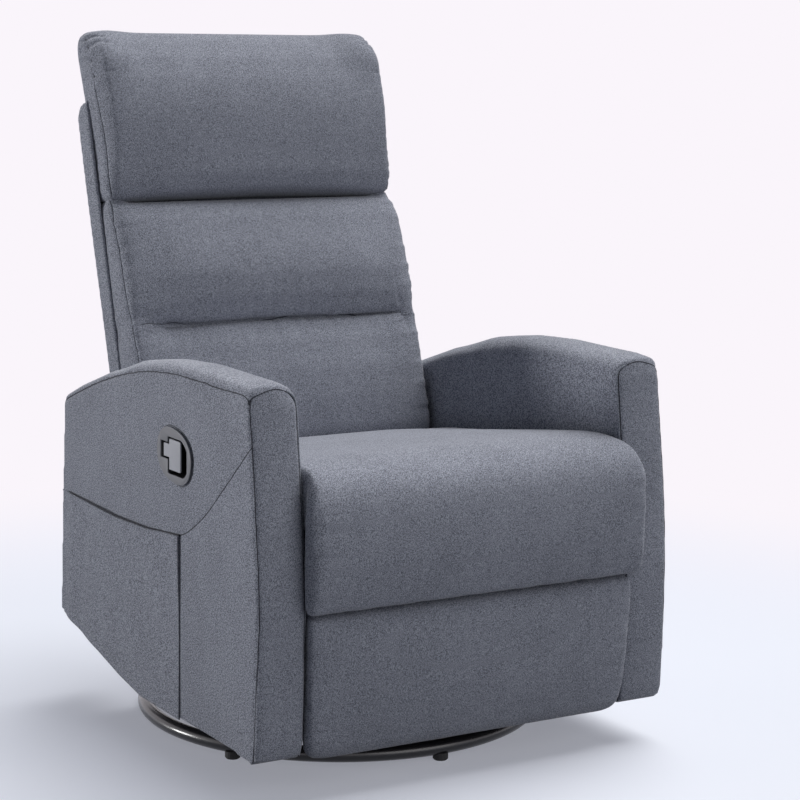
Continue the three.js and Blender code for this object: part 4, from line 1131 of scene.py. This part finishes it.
def crevice_cloth():
    """The black cloth that closes the crevice between the seat and the back."""
    reach, front, rear, height = 274 * MM, 112 * MM, 200 * MM, 347 * MM

    def spot(a, b):
        sag = -3 * MM * math.sin(math.pi * b) * (1 + 0.4 * math.sin(17 * a))
        return ((2 * a - 1) * reach, front + b * (rear - front), height + sag)

    piece = cloth_panel("crevice_cloth", 80, 16, spot, BLACK_CLOTH_WALL)
    dress(piece, "black_cloth", "carriage")
    return piece


# Release handle in the right arm

def plate_edge(grow, x):
    """The handle plate's outline, grown by an amount in millimetres, at a distance outwards."""
    made = []
    c, s = math.cos(PLATE_TILT), math.sin(PLATE_TILT)
    for a in np.linspace(0, 2 * math.pi, 97):
        y, z = (
            (half + grow) * math.copysign(abs(turn) ** PLATE_SQUARENESS, turn)
            for half, turn in zip(PLATE_HALF, (math.cos(a), math.sin(a)))
        )
        made.append((x, (PLATE_CENTRE[0] + y * c - z * s) * MM, (PLATE_CENTRE[1] + y * s + z * c) * MM))
    return made


def plain_copy(node):
    """A copy of a node whose flat faces are whole again."""
    bm = copy_of(node)
    bmesh.ops.dissolve_limit(bm, angle_limit=math.radians(2), verts=bm.verts, edges=bm.edges)
    return bm


SHARP = 1  # radians between the two faces of an edge that gets eased


def rims(bm, node):
    """The sharp edges on a node's outermost face."""
    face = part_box(node)[0].x + 0.1 * MM
    return [e for e in bm.edges if all(v.co.x < face for v in e.verts) and e.calc_face_angle(0) > SHARP]


def handle_plate():
    """The plate round the recess, with its rims eased."""
    bm = plain_copy("handle_cup")
    eased(bm, rims(bm, "handle_cup"), 0.9 * MM, 3)
    return dress(new_piece(bm, "handle_plate"), "handle_plate", "carriage", ["handle_cup"])


def handle_blade():
    """The lever's blade: its front edge clears the fingers, its corners and rim are rounded."""
    bm = plain_copy("release_lever")
    front_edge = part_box("release_lever")[0].y + 8 * MM
    for vert in bm.verts:
        if vert.co.y < front_edge:
            vert.co.y += 6.5 * MM
    blade_rear = -120 * MM
    corners = [
        e for e in bm.edges
        if e.calc_length() > 5 * MM and abs((e.verts[1].co - e.verts[0].co).normalized().x) > 0.99
        and e.verts[0].co.y < blade_rear and e.calc_face_angle(0) > SHARP
    ]
    eased(bm, corners, 4 * MM, 5)
    eased(bm, rims(bm, "release_lever"), 1 * MM, 3)
    return dress(new_piece(bm, "handle_blade"), "handle_plastic", "lever", ["release_lever"])


# Base ring and feet

def base_ring():
    lo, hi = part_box("base_ring")
    tube = (hi.z - lo.z) / 2
    radius = hi.x - tube
    bm = bmesh.new()
    made = bmesh.ops.create_circle(bm, segments=20, radius=tube)
    bmesh.ops.rotate(bm, verts=made["verts"], matrix=Matrix.Rotation(math.pi / 2, 3, "X"))
    bmesh.ops.translate(bm, verts=made["verts"], vec=(radius, 0, (lo.z + hi.z) / 2))
    bmesh.ops.spin(
        bm, geom=bm.verts[:] + bm.edges[:], cent=(0, 0, 0), axis=(0, 0, 1), angle=2 * math.pi,
        steps=128, use_merge=True, use_duplicate=False,
    )
    bmesh.ops.remove_doubles(bm, verts=bm.verts, dist=0.01 * MM)
    bmesh.ops.recalc_face_normals(bm, faces=bm.faces)
    return dress(new_piece(bm, "ring_tube"), "black_tube", "base", ["base_ring"])


# The frame's own nodes

NODE_SLOTS = {
    "black_tube": ["base_arm", "footrest_cross", "footrest_drive"],
    "rubber": ["base_foot"],
    "black_cloth": ["box_board_front"],
    "wood": ["box_board", "back_board"],
    "handle_plastic": ["release_lever"],
    "handle_plate": ["handle_cup"],
}


def dress_nodes():
    for name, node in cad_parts.items():
        slot = next((s for s, starts in NODE_SLOTS.items() if name.startswith(tuple(starts))), "black_steel")
        material = SPRING if name.startswith("seat_spring") else SLOTS[slot]
        for index in range(len(node.material_slots)):
            node.material_slots[index].material = material


# Studio

BACKDROP = rgb(250, 245, 251)


def sky():
    """The world: its own colour where it is seen, and a faint blue light on the object."""
    world = bpy.data.worlds.new("studio")
    bpy.context.scene.world = world
    tree = NodeTree(world)
    ambient = tree.node("ShaderNodeBackground", None, {"Color": (0.80, 0.88, 1.0, 1.0), "Strength": 0.13})
    shown = tree.node("ShaderNodeBackground", None, {"Color": BACKDROP})
    surface = tree.node("ShaderNodeMixShader", None, {0: tree.seen(), 1: ambient, 2: shown})
    tree.node("ShaderNodeOutputWorld", None, {"Surface": surface})


def studio():
    """Pale floor that fades into the backdrop, and soft lamps above and beside the chair."""
    sky()
    bm = bmesh.new()
    bmesh.ops.create_grid(bm, x_segments=1, y_segments=1, size=14)
    floor = new_piece(bm, "studio_floor")
    paint = Paint("studio_floor", Roughness=0.8, Specular_IOR_Level=0.1)
    seen = paint.seen()
    paint.set("Base Color", paint.mix(seen, rgb(120, 122, 128), rgb(238, 241, 249)))
    reach = paint.node("ShaderNodeVectorMath", {"operation": "LENGTH"}, {0: paint.place()}, out="Value")
    away = paint.fade(reach, 0.6, 2.0, {"interpolation_type": "SMOOTHSTEP"})
    colour = paint.mix(away, rgb(232, 234, 247), BACKDROP)
    glow = paint.node("ShaderNodeEmission", None, {"Color": colour, "Strength": 1.0})
    lit = Signal(paint, paint.shader.outputs[0])
    mixed = paint.node("ShaderNodeMixShader", None, {0: (away * 0.7 + 0.3) * seen, 1: lit, 2: glow})
    paint.feed(paint.output.inputs["Surface"], mixed)
    floor.data.materials.append(paint.material)

    soft_sun("overhead", (0.46, 0.12, 1), 50, 2.85)
    soft_sun("left_side", (-1, 0.72, 0.02), 14, 2.15)
    soft_sun("front_fill", (0.25, -1, 0.4), 50, 0.68)


def soft_sun(name, towards, spread, strength):
    """A wide lamp far away, seen from the chair in that direction."""
    data = bpy.data.lights.new(name, "SUN")
    data.angle = math.radians(spread)
    data.energy = strength
    linked(name, data).rotation_euler = Vector(towards).to_track_quat("Z", "Y").to_euler()


def camera():
    """The photograph's viewpoint, as fitted on the chair's measured corners."""
    azimuth, elevation, roll = math.radians(-30.342), math.radians(5.976), math.radians(0.452)
    flat = math.cos(elevation)
    back = Vector((math.sin(azimuth) * flat, -math.cos(azimuth) * flat, math.sin(elevation)))
    right = Vector((0, 0, 1)).cross(back).normalized()
    up = back.cross(right)
    turned_right = right * math.cos(roll) + up * math.sin(roll)
    turned_up = up * math.cos(roll) - right * math.sin(roll)
    data = bpy.data.cameras.new("camera")
    data.sensor_width = 36
    data.lens = 100.5
    data.shift_x, data.shift_y = 0.0372, -0.137
    view = linked("camera", data)
    view.matrix_world = Matrix.Translation((-1.7788, -3.1330, 1.06935)) @ Matrix(
        (turned_right, turned_up, back)
    ).transposed().to_4x4()
    bpy.context.scene.camera = view


bpy.context.scene.view_settings.view_transform = "Standard"
dress_nodes()
head, cushion = head_cushion_start(), back_cushion_start()
seat, lower = seat_start(), lower_pad_start()
simulate([
    (head, held_back(head, HEAD_SEAM, -14 * MM), 14 * MM, 4),
    (cushion, held_back(cushion, BACK_SEAM, 16 * MM, (LUMBAR_FOLD, 34 * MM)), 14 * MM, 4),
    (seat, held_seat(seat), 3.5 * MM, 4),
    (lower, held_lower_pad(lower), 12 * MM, 4),
])
finish_head(head)
finish_back_cushion(cushion)
back_cover()
finish_seat(seat)
seat_bodies()
finish_lower_pad(lower)
for side in (LEFT, RIGHT):
    arm_cover(side)
    pocket(side)
handle_plate()
handle_blade()
rear_flap()
crevice_cloth()
base_ring()
studio()
camera()
